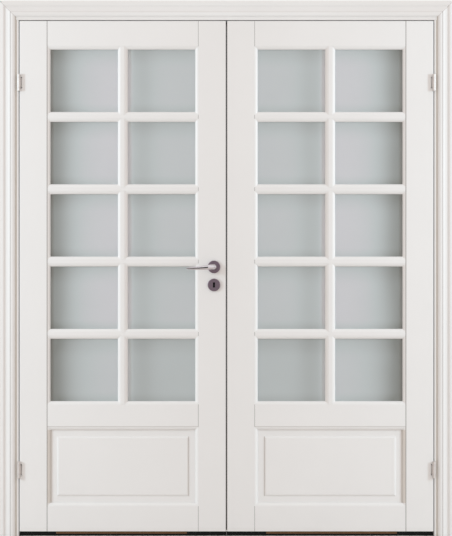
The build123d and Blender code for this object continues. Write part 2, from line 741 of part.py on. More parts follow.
def strike_pockets():
    """The pockets behind the strike plate that take the two bolts."""
    pockets = []
    for (z, height, thickness, _), throw in ((LATCH, LATCH_THROW), (DEADBOLT, DEADBOLT_THROW)):
        spare = STRIKE_CLEARANCE
        reach = MEETING_X + throw + 2 * spare
        pockets.append(
            block((-MEETING_X - PAST, reach), around(MID_Y, thickness + 2 * spare), around(z, height + 2 * spare))
        )
    return pockets


def strike_plate():
    """The plate with the two bolt holes."""
    return block(*strike_ranges()) - strike_pockets()


def rose_blank(z):
    """A round cover with a bevelled rim, standing on the leaf's front face."""
    disc = cross_rod(SPINDLE_X, z, ROSE_RADIUS, (FACE_Y, FACE_Y - ROSE_THICKNESS))
    rim = disc.edges().sort_by(Axis.Y)[0]
    return chamfer(rim, ROSE_BEVEL)


def front_rose():
    """The lever's rose, bored for its neck."""
    radius = NECK_RADIUS + NECK_CLEARANCE
    bore = cross_rod(SPINDLE_X, SPINDLE_HEIGHT, radius, (FACE_Y + PAST, FACE_Y - ROSE_THICKNESS - PAST))
    return rose_blank(SPINDLE_HEIGHT) - bore


def front_escutcheon():
    """The key's escutcheon."""
    slot = keyhole(KEYHOLE_WIDTH, KEYHOLE_HEIGHT, (FACE_Y + PAST, FACE_Y - ROSE_THICKNESS - PAST))
    return rose_blank(KEY_HEIGHT) - slot


def lever_thickness(share):
    """Half the lever's thickness from front to back, at a share of the way from neck to tip."""
    return LEVER_TIP_THICKNESS / 2 + (NECK_RADIUS - LEVER_TIP_THICKNESS / 2) * (1 - share) ** 1.5


def lever_height(share):
    """Half the lever's height, at a share of the way from neck to tip."""
    return LEVER_TIP_HEIGHT / 2 + (NECK_RADIUS - LEVER_TIP_HEIGHT / 2) * (1 - share) ** 1.1


def lever_sections():
    """Ellipses evenly spaced along the lever: round the elbow, then along the grip.

    The grip's outer side stays level with the lever's reach while the grip gets thinner.
    """
    elbow_share = LEVER_ELBOW_STEPS / LEVER_STEPS
    bend = LEVER_REACH - NECK_STRAIGHT - lever_thickness(elbow_share)
    sections = []
    for step in range(LEVER_STEPS + 1):
        share = step / LEVER_STEPS
        turned = min(share / elbow_share, 1) * 90
        if step <= LEVER_ELBOW_STEPS:
            side = bend * (1 - cos(radians(turned)))
            out = NECK_STRAIGHT + bend * sin(radians(turned))
        else:
            side = bend + (LEVER_LENGTH - bend) * (share - elbow_share) / (1 - elbow_share)
            out = LEVER_REACH - lever_thickness(share)
        height = SPINDLE_HEIGHT - LEVER_DROOP * side / LEVER_LENGTH
        direction = Vector(0, -1, 0).rotate(Axis.Z, -turned)
        plane = Plane(origin=(SPINDLE_X - side, FACE_Y - out, height), x_dir=(0, 0, 1), z_dir=direction)
        sections.append(plane * Ellipse(lever_height(share), lever_thickness(share)))
    return sections


def front_lever():
    """The lever: a round neck that bends and tapers into the grip, with a square socket."""
    neck = cross_rod(SPINDLE_X, SPINDLE_HEIGHT, NECK_RADIUS, (FACE_Y - NECK_SINK, FACE_Y - NECK_STRAIGHT))
    grip = loft(lever_sections())
    tip = grip.faces().sort_by(Axis.X)[0].edges()
    shape = neck + fillet(tip, LEVER_TIP_ROUNDING)
    side = SPINDLE_SIDE + 2 * SPINDLE_CLEARANCE
    socket_end = FACE_Y - NECK_SINK - SPINDLE_SOCKET
    socket = block(around(SPINDLE_X, side), (FACE_Y, socket_end), around(SPINDLE_HEIGHT, side))
    return shape - socket


def spindle():
    """The square bar through the lock that joins the two levers."""
    reach = NECK_SINK + SPINDLE_SOCKET - PAST
    return block(
        around(SPINDLE_X, SPINDLE_SIDE), (FACE_Y - reach, BACK_Y + reach), around(SPINDLE_HEIGHT, SPINDLE_SIDE)
    )


def flush_ends():
    """For the top and the bottom bolt: the leaf's end and the way in from it."""
    return {"top": (LEAF_TOP, -1), "bottom": (LEAF_BOTTOM, 1)}


def flush_plate_ranges(end, inward):
    """The box of a flush bolt's plate, flush with the right leaf's meeting edge."""
    start = end + inward * FLUSH_PLATE_FROM_END
    return (
        (-MEETING_X, -MEETING_X + FLUSH_PLATE_THICKNESS),
        around(MID_Y, FLUSH_PLATE_WIDTH),
        (start, start + inward * FLUSH_PLATE_HEIGHT),
    )


def flush_slider_z(end, inward):
    """The middle of the thumb slider with the bolt drawn back."""
    return end + inward * (FLUSH_PLATE_FROM_END + FLUSH_PLATE_HEIGHT * 0.6)


def flush_slot(end, inward, throw):
    """The slot in the plate that the slider moves in."""
    middle = flush_slider_z(end, inward) - inward * throw / 2
    height = FLUSH_SLIDER_HEIGHT + throw + 2 * FLUSH_SLIDER_CLEARANCE
    width = FLUSH_SLIDER_WIDTH + 2 * FLUSH_SLIDER_CLEARANCE
    return block((-MEETING_X - PAST, FLUSH_ROD_X), around(MID_Y, width), around(middle, height))


FLUSH_THROWS = {"top": TOP_BOLT_THROW, "bottom": BOTTOM_BOLT_THROW}


def flush_bolt_plates():
    """The two slotted plates in the right leaf's edge."""
    plates = []
    for name, (end, inward) in flush_ends().items():
        plate = block(*flush_plate_ranges(end, inward))
        plates.append(plate - flush_slot(end, inward, FLUSH_THROWS[name]))
    return Compound(children=plates)


def flush_bolt_rod(name):
    """A flush bolt's rod and thumb slider, drawn back level with the leaf's end."""
    end, inward = flush_ends()[name]
    rod = upright_rod(FLUSH_ROD_X, MID_Y, FLUSH_ROD_RADIUS, (end, end + inward * FLUSH_ROD_LENGTH))
    nose = rod.edges().sort_by(Axis.Z)[-1 if name == "top" else 0]
    rod = chamfer(nose, JOINT_ARRIS)
    slider = block(
        (-MEETING_X, FLUSH_ROD_X),
        around(MID_Y, FLUSH_SLIDER_WIDTH),
        around(flush_slider_z(end, inward), FLUSH_SLIDER_HEIGHT),
    )
    return rod + slider


def flush_bolt_cuts():
    """What is cut out of the right meeting stile for the flush bolts."""
    cuts = []
    for name, (end, inward) in flush_ends().items():
        cuts.append(block(*flush_plate_ranges(end, inward)))
        cuts.append(flush_slot(end, inward, FLUSH_THROWS[name]))
        deep = end + inward * (FLUSH_ROD_LENGTH + FLUSH_SLIDER_CLEARANCE)
        radius = FLUSH_ROD_RADIUS + FLUSH_ROD_CLEARANCE
        cuts.append(upright_rod(FLUSH_ROD_X, MID_Y, radius, (end - inward * PAST, deep)))
    return cuts


def keeper_ranges():
    """The box of the keeper let in flush to the underside of the head."""
    return (
        around(FLUSH_ROD_X, KEEPER_LENGTH),
        around(MID_Y, KEEPER_WIDTH),
        (HEAD_Z, HEAD_Z + KEEPER_THICKNESS),
    )


def head_bolt_socket():
    """The slot up through the keeper and into the head, with room along it for the leaf to settle."""
    length = 2 * (FLUSH_ROD_RADIUS + SOCKET_SIDE_CLEARANCE)
    width = 2 * (FLUSH_ROD_RADIUS + SOCKET_CLEARANCE)
    end = LEAF_TOP + TOP_BOLT_THROW + SOCKET_SPARE
    return block(around(FLUSH_ROD_X, length), around(MID_Y, width), (HEAD_Z - PAST, end))


def head_bolt_keeper():
    """The pierced plate round the top flush bolt's socket."""
    return block(*keeper_ranges()) - head_bolt_socket()


def leaf_woodwork():
    """The pieces that both leaves share, as they lie in the left leaf."""
    hinge_stile, meeting_stile = stile(-1), stile(1)
    stiles = [hinge_stile, meeting_stile]
    pieces = {name: rail(name, stiles) for name in RAIL_FACES}
    bars = cross_bars(stiles)
    crossings = bars + [pieces["top_rail"], pieces["lock_rail"]]
    pieces["upright_bars"] = upright_bars(crossings)
    for number, piece in enumerate(bars, start=1):
        pieces[f"cross_bar_{number}"] = piece
    pieces["raised_panel"] = raised_panel()
    pieces["glass_panes"] = panes()
    pieces["glazing_beads"] = glazing_beads()
    for level in HINGE_LEVELS.values():
        hinge_stile = hinge_stile - hinge_leaf_plate(level) - hinge_notch(level)
    pieces["hinge_stile"] = hinge_stile
    pieces["meeting_stile"] = meeting_stile
    for name, level in HINGE_LEVELS.items():
        pieces[f"{name}_leaf_hinge"] = hinge_leaf_part(level)
    return pieces


def frame_pieces():
    """The frame, its casings and the fixed hinge parts."""
    seals = list(frame_seals())
    pieces = {"left_jamb": left_jamb(seals)}
    pieces["right_jamb"] = mirrored(pieces["left_jamb"])
    pieces["head_jamb"] = head_jamb(list(pieces.values()), seals)
    pieces["frame_seals"] = Compound(children=seals)
    pieces["head_bolt_keeper"] = head_bolt_keeper()
    pieces.update(casings())
    for name, level in HINGE_LEVELS.items():
        part = hinge_frame_part(level)
        pieces[f"left_{name}_frame_hinge"] = part
        pieces[f"right_{name}_frame_hinge"] = mirrored(part)
    pieces["hinge_pins"] = hinge_pins()
    return pieces


def lock_pieces():
    """The lock, its levers and covers, and the plates it works with."""
    front = {
        "front_lever": front_lever(),
        "front_rose": front_rose(),
        "front_escutcheon": front_escutcheon(),
    }
    pieces = dict(front)
    for name, piece in front.items():
        pieces[name.replace("front", "back")] = to_back(piece)
    pieces["lever_spindle"] = spindle()
    pieces["lock_case"] = lock_case()
    pieces["latch_bolt"] = latch_bolt()
    pieces["dead_bolt"] = dead_bolt()
    pieces["strike_plate"] = strike_plate()
    pieces["flush_bolt_plates"] = flush_bolt_plates()
    pieces["top_flush_bolt"] = flush_bolt_rod("top")
    pieces["bottom_flush_bolt"] = flush_bolt_rod("bottom")
    return pieces


def all_pieces():
    """Every piece of the doors, by its name."""
    woodwork = leaf_woodwork()
    pieces = {f"left_{name}": piece for name, piece in woodwork.items()}
    pieces.update({f"right_{name}": mirrored(piece) for name, piece in woodwork.items()})
    pieces["left_meeting_stile"] = pieces["left_meeting_stile"] - lock_cuts()
    right_cuts = [block(*strike_ranges())] + strike_pockets() + flush_bolt_cuts()
    pieces["right_meeting_stile"] = pieces["right_meeting_stile"] - right_cuts
    pieces.update(frame_pieces())
    pieces.update(lock_pieces())
    return pieces


os.makedirs("parts", exist_ok=True)
for piece_name, shape in all_pieces().items():
    export_step(shape, f"parts/{piece_name}.step")
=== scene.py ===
"""The finished look of a pair of white french doors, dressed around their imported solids.

Every size is in metres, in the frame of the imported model: X to the right, Y from front to
back and Z up, with the origin under the middle of the frame at floor level.
"""

from __future__ import annotations

import logging
import math
from dataclasses import dataclass, field
from enum import Enum
from functools import partialmethod
from typing import Any

import bmesh
import bpy
from bmesh.types import BMEdge, BMesh, BMVert
from bpy.types import Material, Node, NodeSocket, NodeTree, Object
from mathutils import Matrix, Vector

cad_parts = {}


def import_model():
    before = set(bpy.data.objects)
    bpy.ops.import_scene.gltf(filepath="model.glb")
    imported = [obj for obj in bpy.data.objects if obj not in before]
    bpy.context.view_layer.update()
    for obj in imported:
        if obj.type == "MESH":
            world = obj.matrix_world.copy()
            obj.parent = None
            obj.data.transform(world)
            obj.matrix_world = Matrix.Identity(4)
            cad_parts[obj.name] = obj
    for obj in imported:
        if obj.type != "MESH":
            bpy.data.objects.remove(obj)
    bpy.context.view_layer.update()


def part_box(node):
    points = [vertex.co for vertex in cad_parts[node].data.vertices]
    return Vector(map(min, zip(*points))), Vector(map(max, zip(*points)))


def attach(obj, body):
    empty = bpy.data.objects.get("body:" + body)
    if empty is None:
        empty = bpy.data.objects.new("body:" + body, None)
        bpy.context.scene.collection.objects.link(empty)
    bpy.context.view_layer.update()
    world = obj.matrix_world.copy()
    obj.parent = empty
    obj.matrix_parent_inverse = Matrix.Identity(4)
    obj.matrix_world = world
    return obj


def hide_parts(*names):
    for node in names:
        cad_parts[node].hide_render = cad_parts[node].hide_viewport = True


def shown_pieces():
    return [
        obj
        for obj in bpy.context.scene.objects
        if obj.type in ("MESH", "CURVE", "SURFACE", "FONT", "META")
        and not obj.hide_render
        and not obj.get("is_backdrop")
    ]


LOG = logging.getLogger("french_doors")
MM = 0.001
MERGE_DISTANCE = 0.001 * MM
UP = Vector((0, 0, 1))

# The photograph's frame, and the scale at which a standard leaf shows in it
PHOTO_WIDTH = 452
PHOTO_HEIGHT = 536
METRES_PER_PIXEL = 3.995 * MM
PHOTO_MIDDLE_LINE = 226.5

# Lines of the woodwork, by their distance from the middle of the frame
HINGE_JOINT = 717.0 * MM
MEETING_JOINT = 112.0 * MM
HINGE_SIGHT = 704.0 * MM
PANE_WIDTH = 269.5 * MM

# The casings' inner edge beside and above the opening, how far outside it their quirk runs,
# and the line on the jambs where painted shade stands for the casings' shadow
CASING_EDGE = 845.0 * MM
CASING_HEAD_EDGE = 2076.0 * MM
CASING_QUIRK = 18.0 * MM
JAMB_BAND = 841.0 * MM

# The raised panels and their fields: heights of the ends, and lines from the middle, along which
# painted shade is drawn
PANEL_ENDS = (132.0 * MM, 423.0 * MM)
PANEL_GROOVE = 702.0 * MM
PANEL_MOULDING = 709.0 * MM
FIELD_EDGE = 151.4 * MM
FIELD_ENDS = (158.0 * MM, 397.0 * MM)
# The height of the painted shadow line along the lock rail's moulding
RAIL_QUIRK = 437.3 * MM

# The meeting edges, and how far back from the front the painted shade on their arris reaches
MEETING_EDGE = 2.0 * MM
SHADED_ARRIS_DEPTH = -14.0 * MM

# The one white of all the woodwork, and the tone that it wanders to
PAINT = "#EAE9E8"
PAINT_SHADE = "#E6E5E4"


class Named(Enum):
    """Options whose names stand at the front of nodes' names."""

    @property
    def word(self) -> str:
        """The option's name as the nodes write it."""
        return self.name.lower()

    def node(self, name: str) -> str:
        """The full name of this option's node."""
        return f"{self.word}_{name}"


class Side(Named):
    """The two leaves, by the side of the frame that carries their hinges."""

    LEFT = -1
    RIGHT = 1

    def outer(self, name: str) -> float:
        """The X of a node's face on the hinge side."""
        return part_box(self.node(name))[0 if self is Side.LEFT else 1].x

    def inner(self, name: str) -> float:
        """The X of a node's face on the meeting side."""
        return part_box(self.node(name))[1 if self is Side.LEFT else 0].x


class Facing(Named):
    """The two faces of the doors, by the way out of them along Y."""

    FRONT = -1
    BACK = 1


class Brushing(Enum):
    """How a metal's grain lies on the finished piece."""

    ALONG_X = "along x"
    ALONG_Z = "along z"
    ROUND = "round"
    NONE = "none"


class Run(Enum):
    """Which way a hairline runs, and so what its place is measured by."""

    UPRIGHT = "distance from the middle of the frame"
    LEVEL = "height above the floor"
    CASING = "distance outside the casings' inner edge"
    MITRE = "distance from the casings' mitre"


def linear(colour: str) -> tuple[float, float, float, float]:
    """Turns an sRGB hex colour to the linear values that shaders take.

    Args:
        colour: six hex digits, with or without a hash in front.

    Returns:
        Red, green, blue and an alpha of one.
    """
    digits = colour.lstrip("#")
    levels = [int(digits[i : i + 2], 16) / 255 for i in (0, 2, 4)]
    lit = [v / 12.92 if v <= 0.04045 else ((v + 0.055) / 1.055) ** 2.4 for v in levels]
    return lit[0], lit[1], lit[2], 1.0


def add_node(tree: NodeTree, kind: str, settings: dict[str, Any] | None = None,
             inputs: dict[str | int, Any] | None = None) -> Node:
    """Adds one node with its settings, its values and its links.

    Args:
        tree: the node tree that it goes into.
        kind: the node's type name.
        settings: attributes of the node itself, such as operation.
        inputs: what its inputs take, by their names or numbers: a socket, a measure or a value.

    Returns:
        The new node.
    """
    node = tree.nodes.new(kind)
    for name, value in (settings or {}).items():
        setattr(node, name, value)
    for name, value in (inputs or {}).items():
        source = value.socket if isinstance(value, Measure) else value
        if isinstance(source, NodeSocket):
            tree.links.new(source, node.inputs[name])
        else:
            node.inputs[name].default_value = source
    return node


@dataclass(frozen=True)
class Measure:
    """A number that varies over a surface, and on which arithmetic adds math nodes."""

    socket: NodeSocket

    def calculate(self, operation: str, *inputs: Measure | float) -> Measure:
        """Adds one math node.

        Args:
            operation: what it does.
            inputs: all that it takes, in order.

        Returns:
            Its result.
        """
        tree = self.socket.id_data
        node = add_node(tree, "ShaderNodeMath", {"operation": operation}, dict(enumerate(inputs)))
        return Measure(node.outputs[0])

    def step(self, operation: str, *others: Measure | float) -> Measure:
        """A math node that takes this number first."""
        return self.calculate(operation, self, *others)

    def back(self, operation: str, first: float) -> Measure:
        """A math node that takes a plain number first and then this one."""
        return self.calculate(operation, first, self)

    # Python's own operators, each as the math node that does the same
    __add__ = partialmethod(step, "ADD")
    __sub__ = partialmethod(step, "SUBTRACT")
    __mul__ = partialmethod(step, "MULTIPLY")
    __truediv__ = partialmethod(step, "DIVIDE")
    __mod__ = partialmethod(step, "FLOORED_MODULO")
    __pow__ = partialmethod(step, "POWER")
    __gt__ = partialmethod(step, "GREATER_THAN")
    __abs__ = partialmethod(step, "ABSOLUTE")
    __rsub__ = partialmethod(back, "SUBTRACT")
    __rtruediv__ = partialmethod(back, "DIVIDE")


def object_point(tree: NodeTree) -> NodeSocket:
    """The surface point in metres, which patterns read."""
    return add_node(tree, "ShaderNodeTexCoord").outputs["Object"]


def axes(tree: NodeTree) -> list[Measure]:
    """The surface point's X, Y and Z in metres."""
    parts = add_node(tree, "ShaderNodeSeparateXYZ", inputs={"Vector": object_point(tree)})
    return [Measure(part) for part in parts.outputs]


def grain(tree: NodeTree, size_mm: float, detail: float,
          point: NodeSocket | None = None,
          stretch: tuple[float, float, float] | None = None) -> Measure:
    """A random pattern of a real size.

    Args:
        tree: the material's tree.
        size_mm: the size of its cells in millimetres.
        detail: how many finer layers lie over it.
        point: what it is read at, if not the surface point.
        stretch: what the point is multiplied by, where the pattern is drawn out along an axis.

    Returns:
        A number between zero and one.
    """
    vector = point or object_point(tree)
    if stretch is not None:
        drawn = add_node(tree, "ShaderNodeVectorMath", {"operation": "MULTIPLY"},
                         {0: vector, 1: stretch})
        vector = drawn.outputs[0]
    noise = add_node(tree, "ShaderNodeTexNoise", inputs={
        "Vector": vector, "Scale": 1 / (size_mm * MM), "Detail": detail,
    })
    return Measure(noise.outputs["Fac"])


@dataclass(frozen=True)
class Finish:
    """A finish, whose subclasses say what its shader takes."""

    name: str

    def surface(self, tree: NodeTree) -> dict[str, Any]:
        """The shader's inputs by name, each a socket, a measure or a value."""
        raise NotImplementedError

    def build(self) -> Material:
        """Builds the material.

        Returns:
            The material, with one principled shader.
        """
        material = bpy.data.materials.new(self.name)
        material.use_nodes = True
        tree = material.node_tree
        tree.nodes.clear()
        shader = add_node(tree, "ShaderNodeBsdfPrincipled", inputs=self.surface(tree))
        add_node(tree, "ShaderNodeOutputMaterial", inputs={"Surface": shader.outputs[0]})
        return material


@dataclass(frozen=True)
class Hairline:
    """A darker line in the paint: a crack at a joint or mitre, or painted shade where a quirk,
    groove, corner or gap lies in shadow.
    """

    run: Run
    place: float
    half: float
    colour: str
    ends: tuple[float, float] | None = None
    depth: float | None = None
    soft: float = 0.6

    def draw(self, tree: NodeTree, paint: NodeSocket) -> NodeSocket:
        """Draws the line over the paint.

        Args:
            tree: the material's tree.
            paint: the colour so far.

        Returns:
            The colour with the line in it.
        """
        across, back, height = axes(tree)
        outward = abs(across)
        measure = {
            Run.UPRIGHT: lambda: outward,
            Run.LEVEL: lambda: height,
            Run.CASING: lambda: (outward - CASING_EDGE).step("MAXIMUM", height - CASING_HEAD_EDGE),
            Run.MITRE: lambda: (outward - CASING_EDGE) - (height - CASING_HEAD_EDGE),
        }[self.run]()
        fade = add_node(tree, "ShaderNodeMapRange", {"interpolation_type": "SMOOTHSTEP"}, {
            "Value": abs(measure - self.place), "From Min": self.half,
            "From Max": self.half * (1 + self.soft),
        })
        clear = Measure(fade.outputs["Result"])
        if self.ends is not None:
            start, end = self.ends
            along = outward if self.run is Run.LEVEL else height
            clear = clear.step("MAXIMUM", abs(along - (start + end) / 2) > (end - start) / 2)
        if self.depth is not None:
            clear = clear.step("MAXIMUM", back > self.depth)
        mix = add_node(tree, "ShaderNodeMix", {"data_type": "RGBA"}, {
            "Factor": clear, "A": linear(self.colour), "B": paint,
        })
        return mix.outputs["Result"]


@dataclass(frozen=True)
class SatinPaint(Finish):
    """Waterborne satin paint on wood, sprayed and rubbed down between coats.

    It gives the eye a soft sheen with a faint peel, and a tone that wanders by a percent
    or so over a hand's width, with the wood's grain just telegraphing through.
    """

    lines: tuple[Hairline, ...] = ()
    colour: str = PAINT
    shade: str = PAINT_SHADE
    roughness: float = 0.42
    polish: float = 0.04
    dulling: float = 0.05
    peel_mm: float = 1.6
    cloud_mm: float = 240.0
    grain_mm: float = 2.2
    grain_length: float = 30.0
    grain_share: float = 0.5
    strength: float = 0.12
    depth_mm: float = 0.06

    def surface(self, tree: NodeTree) -> dict[str, Any]:
        """The paint's tone with its hairlines of cracks and painted shade, its sheen and its
        relief.

        Args:
            tree: the material's tree.

        Returns:
            The shader's inputs.
        """
        clouds = grain(tree, self.cloud_mm, 2.0)
        tone = add_node(tree, "ShaderNodeMix", {"data_type": "RGBA"}, {
            "Factor": clouds, "A": linear(self.colour), "B": linear(self.shade),
        })
        colour = tone.outputs["Result"]
        for line in self.lines:
            colour = line.draw(tree, colour)
        wood = grain(tree, self.grain_mm, 3.0, stretch=(1, 1, 1 / self.grain_length))
        height = wood * self.grain_share + grain(tree, self.peel_mm, 1.0)
        bump = add_node(tree, "ShaderNodeBump", inputs={
            "Height": height, "Strength": self.strength, "Distance": self.depth_mm * MM,
        })
        gloss = add_node(tree, "ShaderNodeMapRange", inputs={
            "Value": clouds, "To Min": self.roughness - self.polish,
            "To Max": self.roughness + self.dulling,
        })
        return {"Base Color": colour, "Roughness": gloss.outputs["Result"],
                "Normal": bump.outputs["Normal"]}


@dataclass(frozen=True)
class EtchedGlass(Finish):
    """Acid-etched float glass, frosted on the back and smooth in front.

    It gives the eye a blue-green grey that lets light through but no image. Its tone holds
    painted shade: darker towards each leaf's hinge side, in a soft band of the second column,
    under the top of each pane and low down, and painted lighter beside the bar.
    """

    bar_width: float
    pane_bottom: float
    pane_pitch: float
    light: str = "#DCDCE0"
    middle: str = "#CBD2D3"
    deep: str = "#8F918D"
    middle_share: float = 0.25
    fade_reach: float = 76.0 * MM
    fade_power: float = 2.6
    fade_share: float = 0.86
    fade_bend: float = 0.6
    band_share: float = 0.17
    band_place: float = 60.0 * MM
    band_width: float = 48.0 * MM
    column_share: float = 0.17
    column_lift: float = 0.24
    top_share: float = 0.17
    top_reach: float = 80.0 * MM
    bottom_share: float = 0.13
    low_share: float = 0.12
    low_reach: float = 0.4
    cloud_mm: float = 310.0
    cloud_share: float = 0.10
    roughness: float = 0.5
    refraction: float = 1.52
    transmission: float = 0.30
    speck_mm: float = 1.2
    strength: float = 0.08
    depth_mm: float = 0.05

    def depth(self, tree: NodeTree) -> Measure:
        """How much painted shade darkens the glass.

        Args:
            tree: the material's tree.

        Returns:
            A number that is zero where the glass is lightest and one where it is darkest.
        """
        across, _, height = axes(tree)
        inward = (HINGE_SIGHT - abs(across)).step("MAXIMUM", 0.0)
        cloud = grain(tree, self.cloud_mm, 1.5) - 0.5
        bent = inward + cloud * (self.fade_reach * self.fade_bend)
        ratio = bent.step("MAXIMUM", 0.0) / self.fade_reach
        side = self.fade_share / (ratio**self.fade_power + 1.0)
        column_start = PANE_WIDTH + self.bar_width / 2
        away = inward - (column_start + self.bar_width / 2 + self.band_place)
        bell = ((away / self.band_width) ** 2 * -1.0).step("EXPONENT")
        pane_height = self.pane_pitch - self.bar_width
        level = (height - self.pane_bottom) % self.pane_pitch
        lit, top, bottom, low = (
            Measure(add_node(tree, "ShaderNodeMapRange", {"interpolation_type": "SMOOTHSTEP"}, {
                "Value": value, "From Min": start, "From Max": end, "To Max": share,
            }).outputs["Result"])
            for value, start, end, share in (
                (away, -self.band_place / 2, -self.band_place, self.column_lift),
                (level, pane_height - self.top_reach, pane_height, self.top_share),
                (level, self.top_reach / 2, 0.0, self.bottom_share),
                (height, self.pane_bottom + self.bar_width,
                 self.pane_bottom - pane_height * self.low_reach, self.low_share),
            )
        )
        second = (inward > column_start) * (bell * self.band_share + self.column_share - lit)
        # Painted shade: darker at the hinge side, in the second column, under each pane's top, over
        # its bottom and low down, and painted lighter beside the bar
        return side + second + top + bottom + low + cloud * self.cloud_share

    def surface(self, tree: NodeTree) -> dict[str, Any]:
        """The glass's tone by its painted shade, and its fine grain.

        Args:
            tree: the material's tree.

        Returns:
            The shader's inputs.
        """
        tone = add_node(tree, "ShaderNodeValToRGB", inputs={"Fac": self.depth(tree)})
        stops = tone.color_ramp.elements
        stops[0].color, stops[1].color = linear(self.light), linear(self.deep)
        stops.new(self.middle_share).color = linear(self.middle)
        bump = add_node(tree, "ShaderNodeBump", inputs={
            "Height": grain(tree, self.speck_mm, 2.0), "Strength": self.strength,
            "Distance": self.depth_mm * MM,
        })
        return {"Base Color": tone.outputs["Color"], "Normal": bump.outputs["Normal"],
                "Roughness": self.roughness, "IOR": self.refraction,
                "Transmission Weight": self.transmission}


@dataclass(frozen=True)
class WorkedMetal(Finish):
    """Steel or nickel plate, brushed, turned or polished.

    It gives the eye fine scratches that stretch its reflections across the grain, and
    faint clouds where the polish differs.
    """

    colour: str
    roughness: float
    brushing: Brushing = Brushing.NONE
    scratch_mm: float = 0.35
    scratch_length: float = 60.0
    depth_mm: float = 0.02
    strength: float = 0.25
    polish: float = 0.06
    least_roughness: float = 0.02
    dark_share: float = 0.93
    centres: tuple[tuple[float, float], ...] = ()
    keyway: tuple[float, float] | None = None
    keyway_half: tuple[float, float] = (4.2 * MM, 10.3 * MM)
    keyway_colour: str = "#060505"

    def tarnished(self, tree: NodeTree, metal: NodeSocket) -> NodeSocket:
        """Paints shade: blackens the metal in the keyway and at its rim, where the hole lies dark.

        Args:
            tree: the material's tree.
            metal: the clean metal's colour.

        Returns:
            The colour with the keyway in it.
        """
        across, _, height = axes(tree)
        beside = abs(across - self.keyway[0]) > self.keyway_half[0]
        above = abs(height - self.keyway[1]) > self.keyway_half[1]
        mix = add_node(tree, "ShaderNodeMix", {"data_type": "RGBA"}, {
            "Factor": beside.step("MAXIMUM", above), "A": linear(self.keyway_colour), "B": metal,
        })
        return mix.outputs["Result"]

    def scratches(self, tree: NodeTree) -> Measure:
        """The grain's height, in rings round the nearest centre or along an axis.

        Args:
            tree: the material's tree.

        Returns:
            A number between zero and one.
        """
        if self.brushing is Brushing.ROUND:
            across, _, height = axes(tree)
            radii = [((across - x) ** 2 + (height - z) ** 2).step("SQRT") for x, z in self.centres]
            radius = radii[0]
            for other in radii[1:]:
                radius = radius.step("MINIMUM", other)
            rings = add_node(tree, "ShaderNodeCombineXYZ", inputs={"X": radius})
            return grain(tree, self.scratch_mm, 3.0, rings.outputs[0])
        long = 1 / self.scratch_length
        stretch = {Brushing.ALONG_X: (long, 1, 1), Brushing.ALONG_Z: (1, 1, long)}
        return grain(tree, self.scratch_mm, 3.0, stretch=stretch.get(self.brushing))

    def surface(self, tree: NodeTree) -> dict[str, Any]:
        """The metal's colour, polish and scratches.

        Args:
            tree: the material's tree.

        Returns:
            The shader's inputs.
        """
        height = self.scratches(tree)
        bump = add_node(tree, "ShaderNodeBump", inputs={
            "Height": height, "Strength": self.strength, "Distance": self.depth_mm * MM,
        })
        gloss = add_node(tree, "ShaderNodeMapRange", inputs={
            "Value": height, "To Min": max(self.roughness - self.polish, self.least_roughness),
            "To Max": self.roughness + self.polish,
        })
        bright = linear(self.colour)
        dark = (*(level * self.dark_share for level in bright[:3]), 1.0)
        tone = add_node(tree, "ShaderNodeMix", {"data_type": "RGBA"}, {
            "Factor": height, "A": dark, "B": bright,
        })
        colour = tone.outputs["Result"]
        if self.keyway is not None:
            colour = self.tarnished(tree, colour)
        return {"Base Color": colour, "Roughness": gloss.outputs["Result"],
                "Normal": bump.outputs["Normal"], "Metallic": 1.0}


@dataclass(frozen=True)
class SealRubber(Finish):
    """Extruded rubber or moulded plastic, matt with fine drag lines.

    It gives the eye a dead, even tone with only a dull edge of light.
    """

    colour: str
    roughness: float = 0.75
    line_mm: float = 0.6
    specular: float = 0.35
    strength: float = 0.2
    depth_mm: float = 0.05

    def surface(self, tree: NodeTree) -> dict[str, Any]:
        """The rubber's even tone, and its drag lines in relief."""
        bump = add_node(tree, "ShaderNodeBump", inputs={
            "Height": grain(tree, self.line_mm, 2.0), "Strength": self.strength,
            "Distance": self.depth_mm * MM,
        })
        return {"Base Color": linear(self.colour), "Roughness": self.roughness,
                "Specular IOR Level": self.specular, "Normal": bump.outputs["Normal"]}


@dataclass(frozen=True)
class StageCoat(Finish):
    """A plain matt coat for what stands round the doors and isn't part of them."""

    colour: str
    roughness: float

    def surface(self, tree: NodeTree) -> dict[str, Any]:
        """The coat's even tone."""
        return {"Base Color": linear(self.colour), "Roughness": self.roughness}


@dataclass(frozen=True)
class Palette:
    """Every finish on the doors, built once."""

    paint: Material
    jamb_paint: Material
    stile_paint: Material
    meeting_paint: Material
    panel_paint: Material
    jointed_paint: Material
    casing_paint: Material
    head_casing_paint: Material
    glass: Material
    hinge_metal: Material
    rose_metal: Material
    lever_metal: Material
    lock_metal: Material
    screw_metal: Material
    grub_metal: Material
    rubber: Material
    seal_brush: Material
    seal_brown: Material
    seal_black: Material
    shutter: Material


def dress(names: list[str], material: Material) -> None:
    """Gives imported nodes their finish.

    Args:
        names: the nodes.
        material: the finish.
    """
    for name in names:
        node = bpy.data.objects[name]
        node.data.materials.clear()
        node.data.materials.append(material)


def add_object(mesh: BMesh, name: str, material: Material) -> Object:
    """Puts a mesh into the scene, as an object at the origin.

    Args:
        mesh: the mesh, which this uses up.
        name: the object's name.
        material: its finish.

    Returns:
        The object.
    """
    data = bpy.data.meshes.new(name)
    mesh.to_mesh(data)
    mesh.free()
    data.materials.append(material)
    made = bpy.data.objects.new(name, data)
    bpy.context.scene.collection.objects.link(made)
    return made


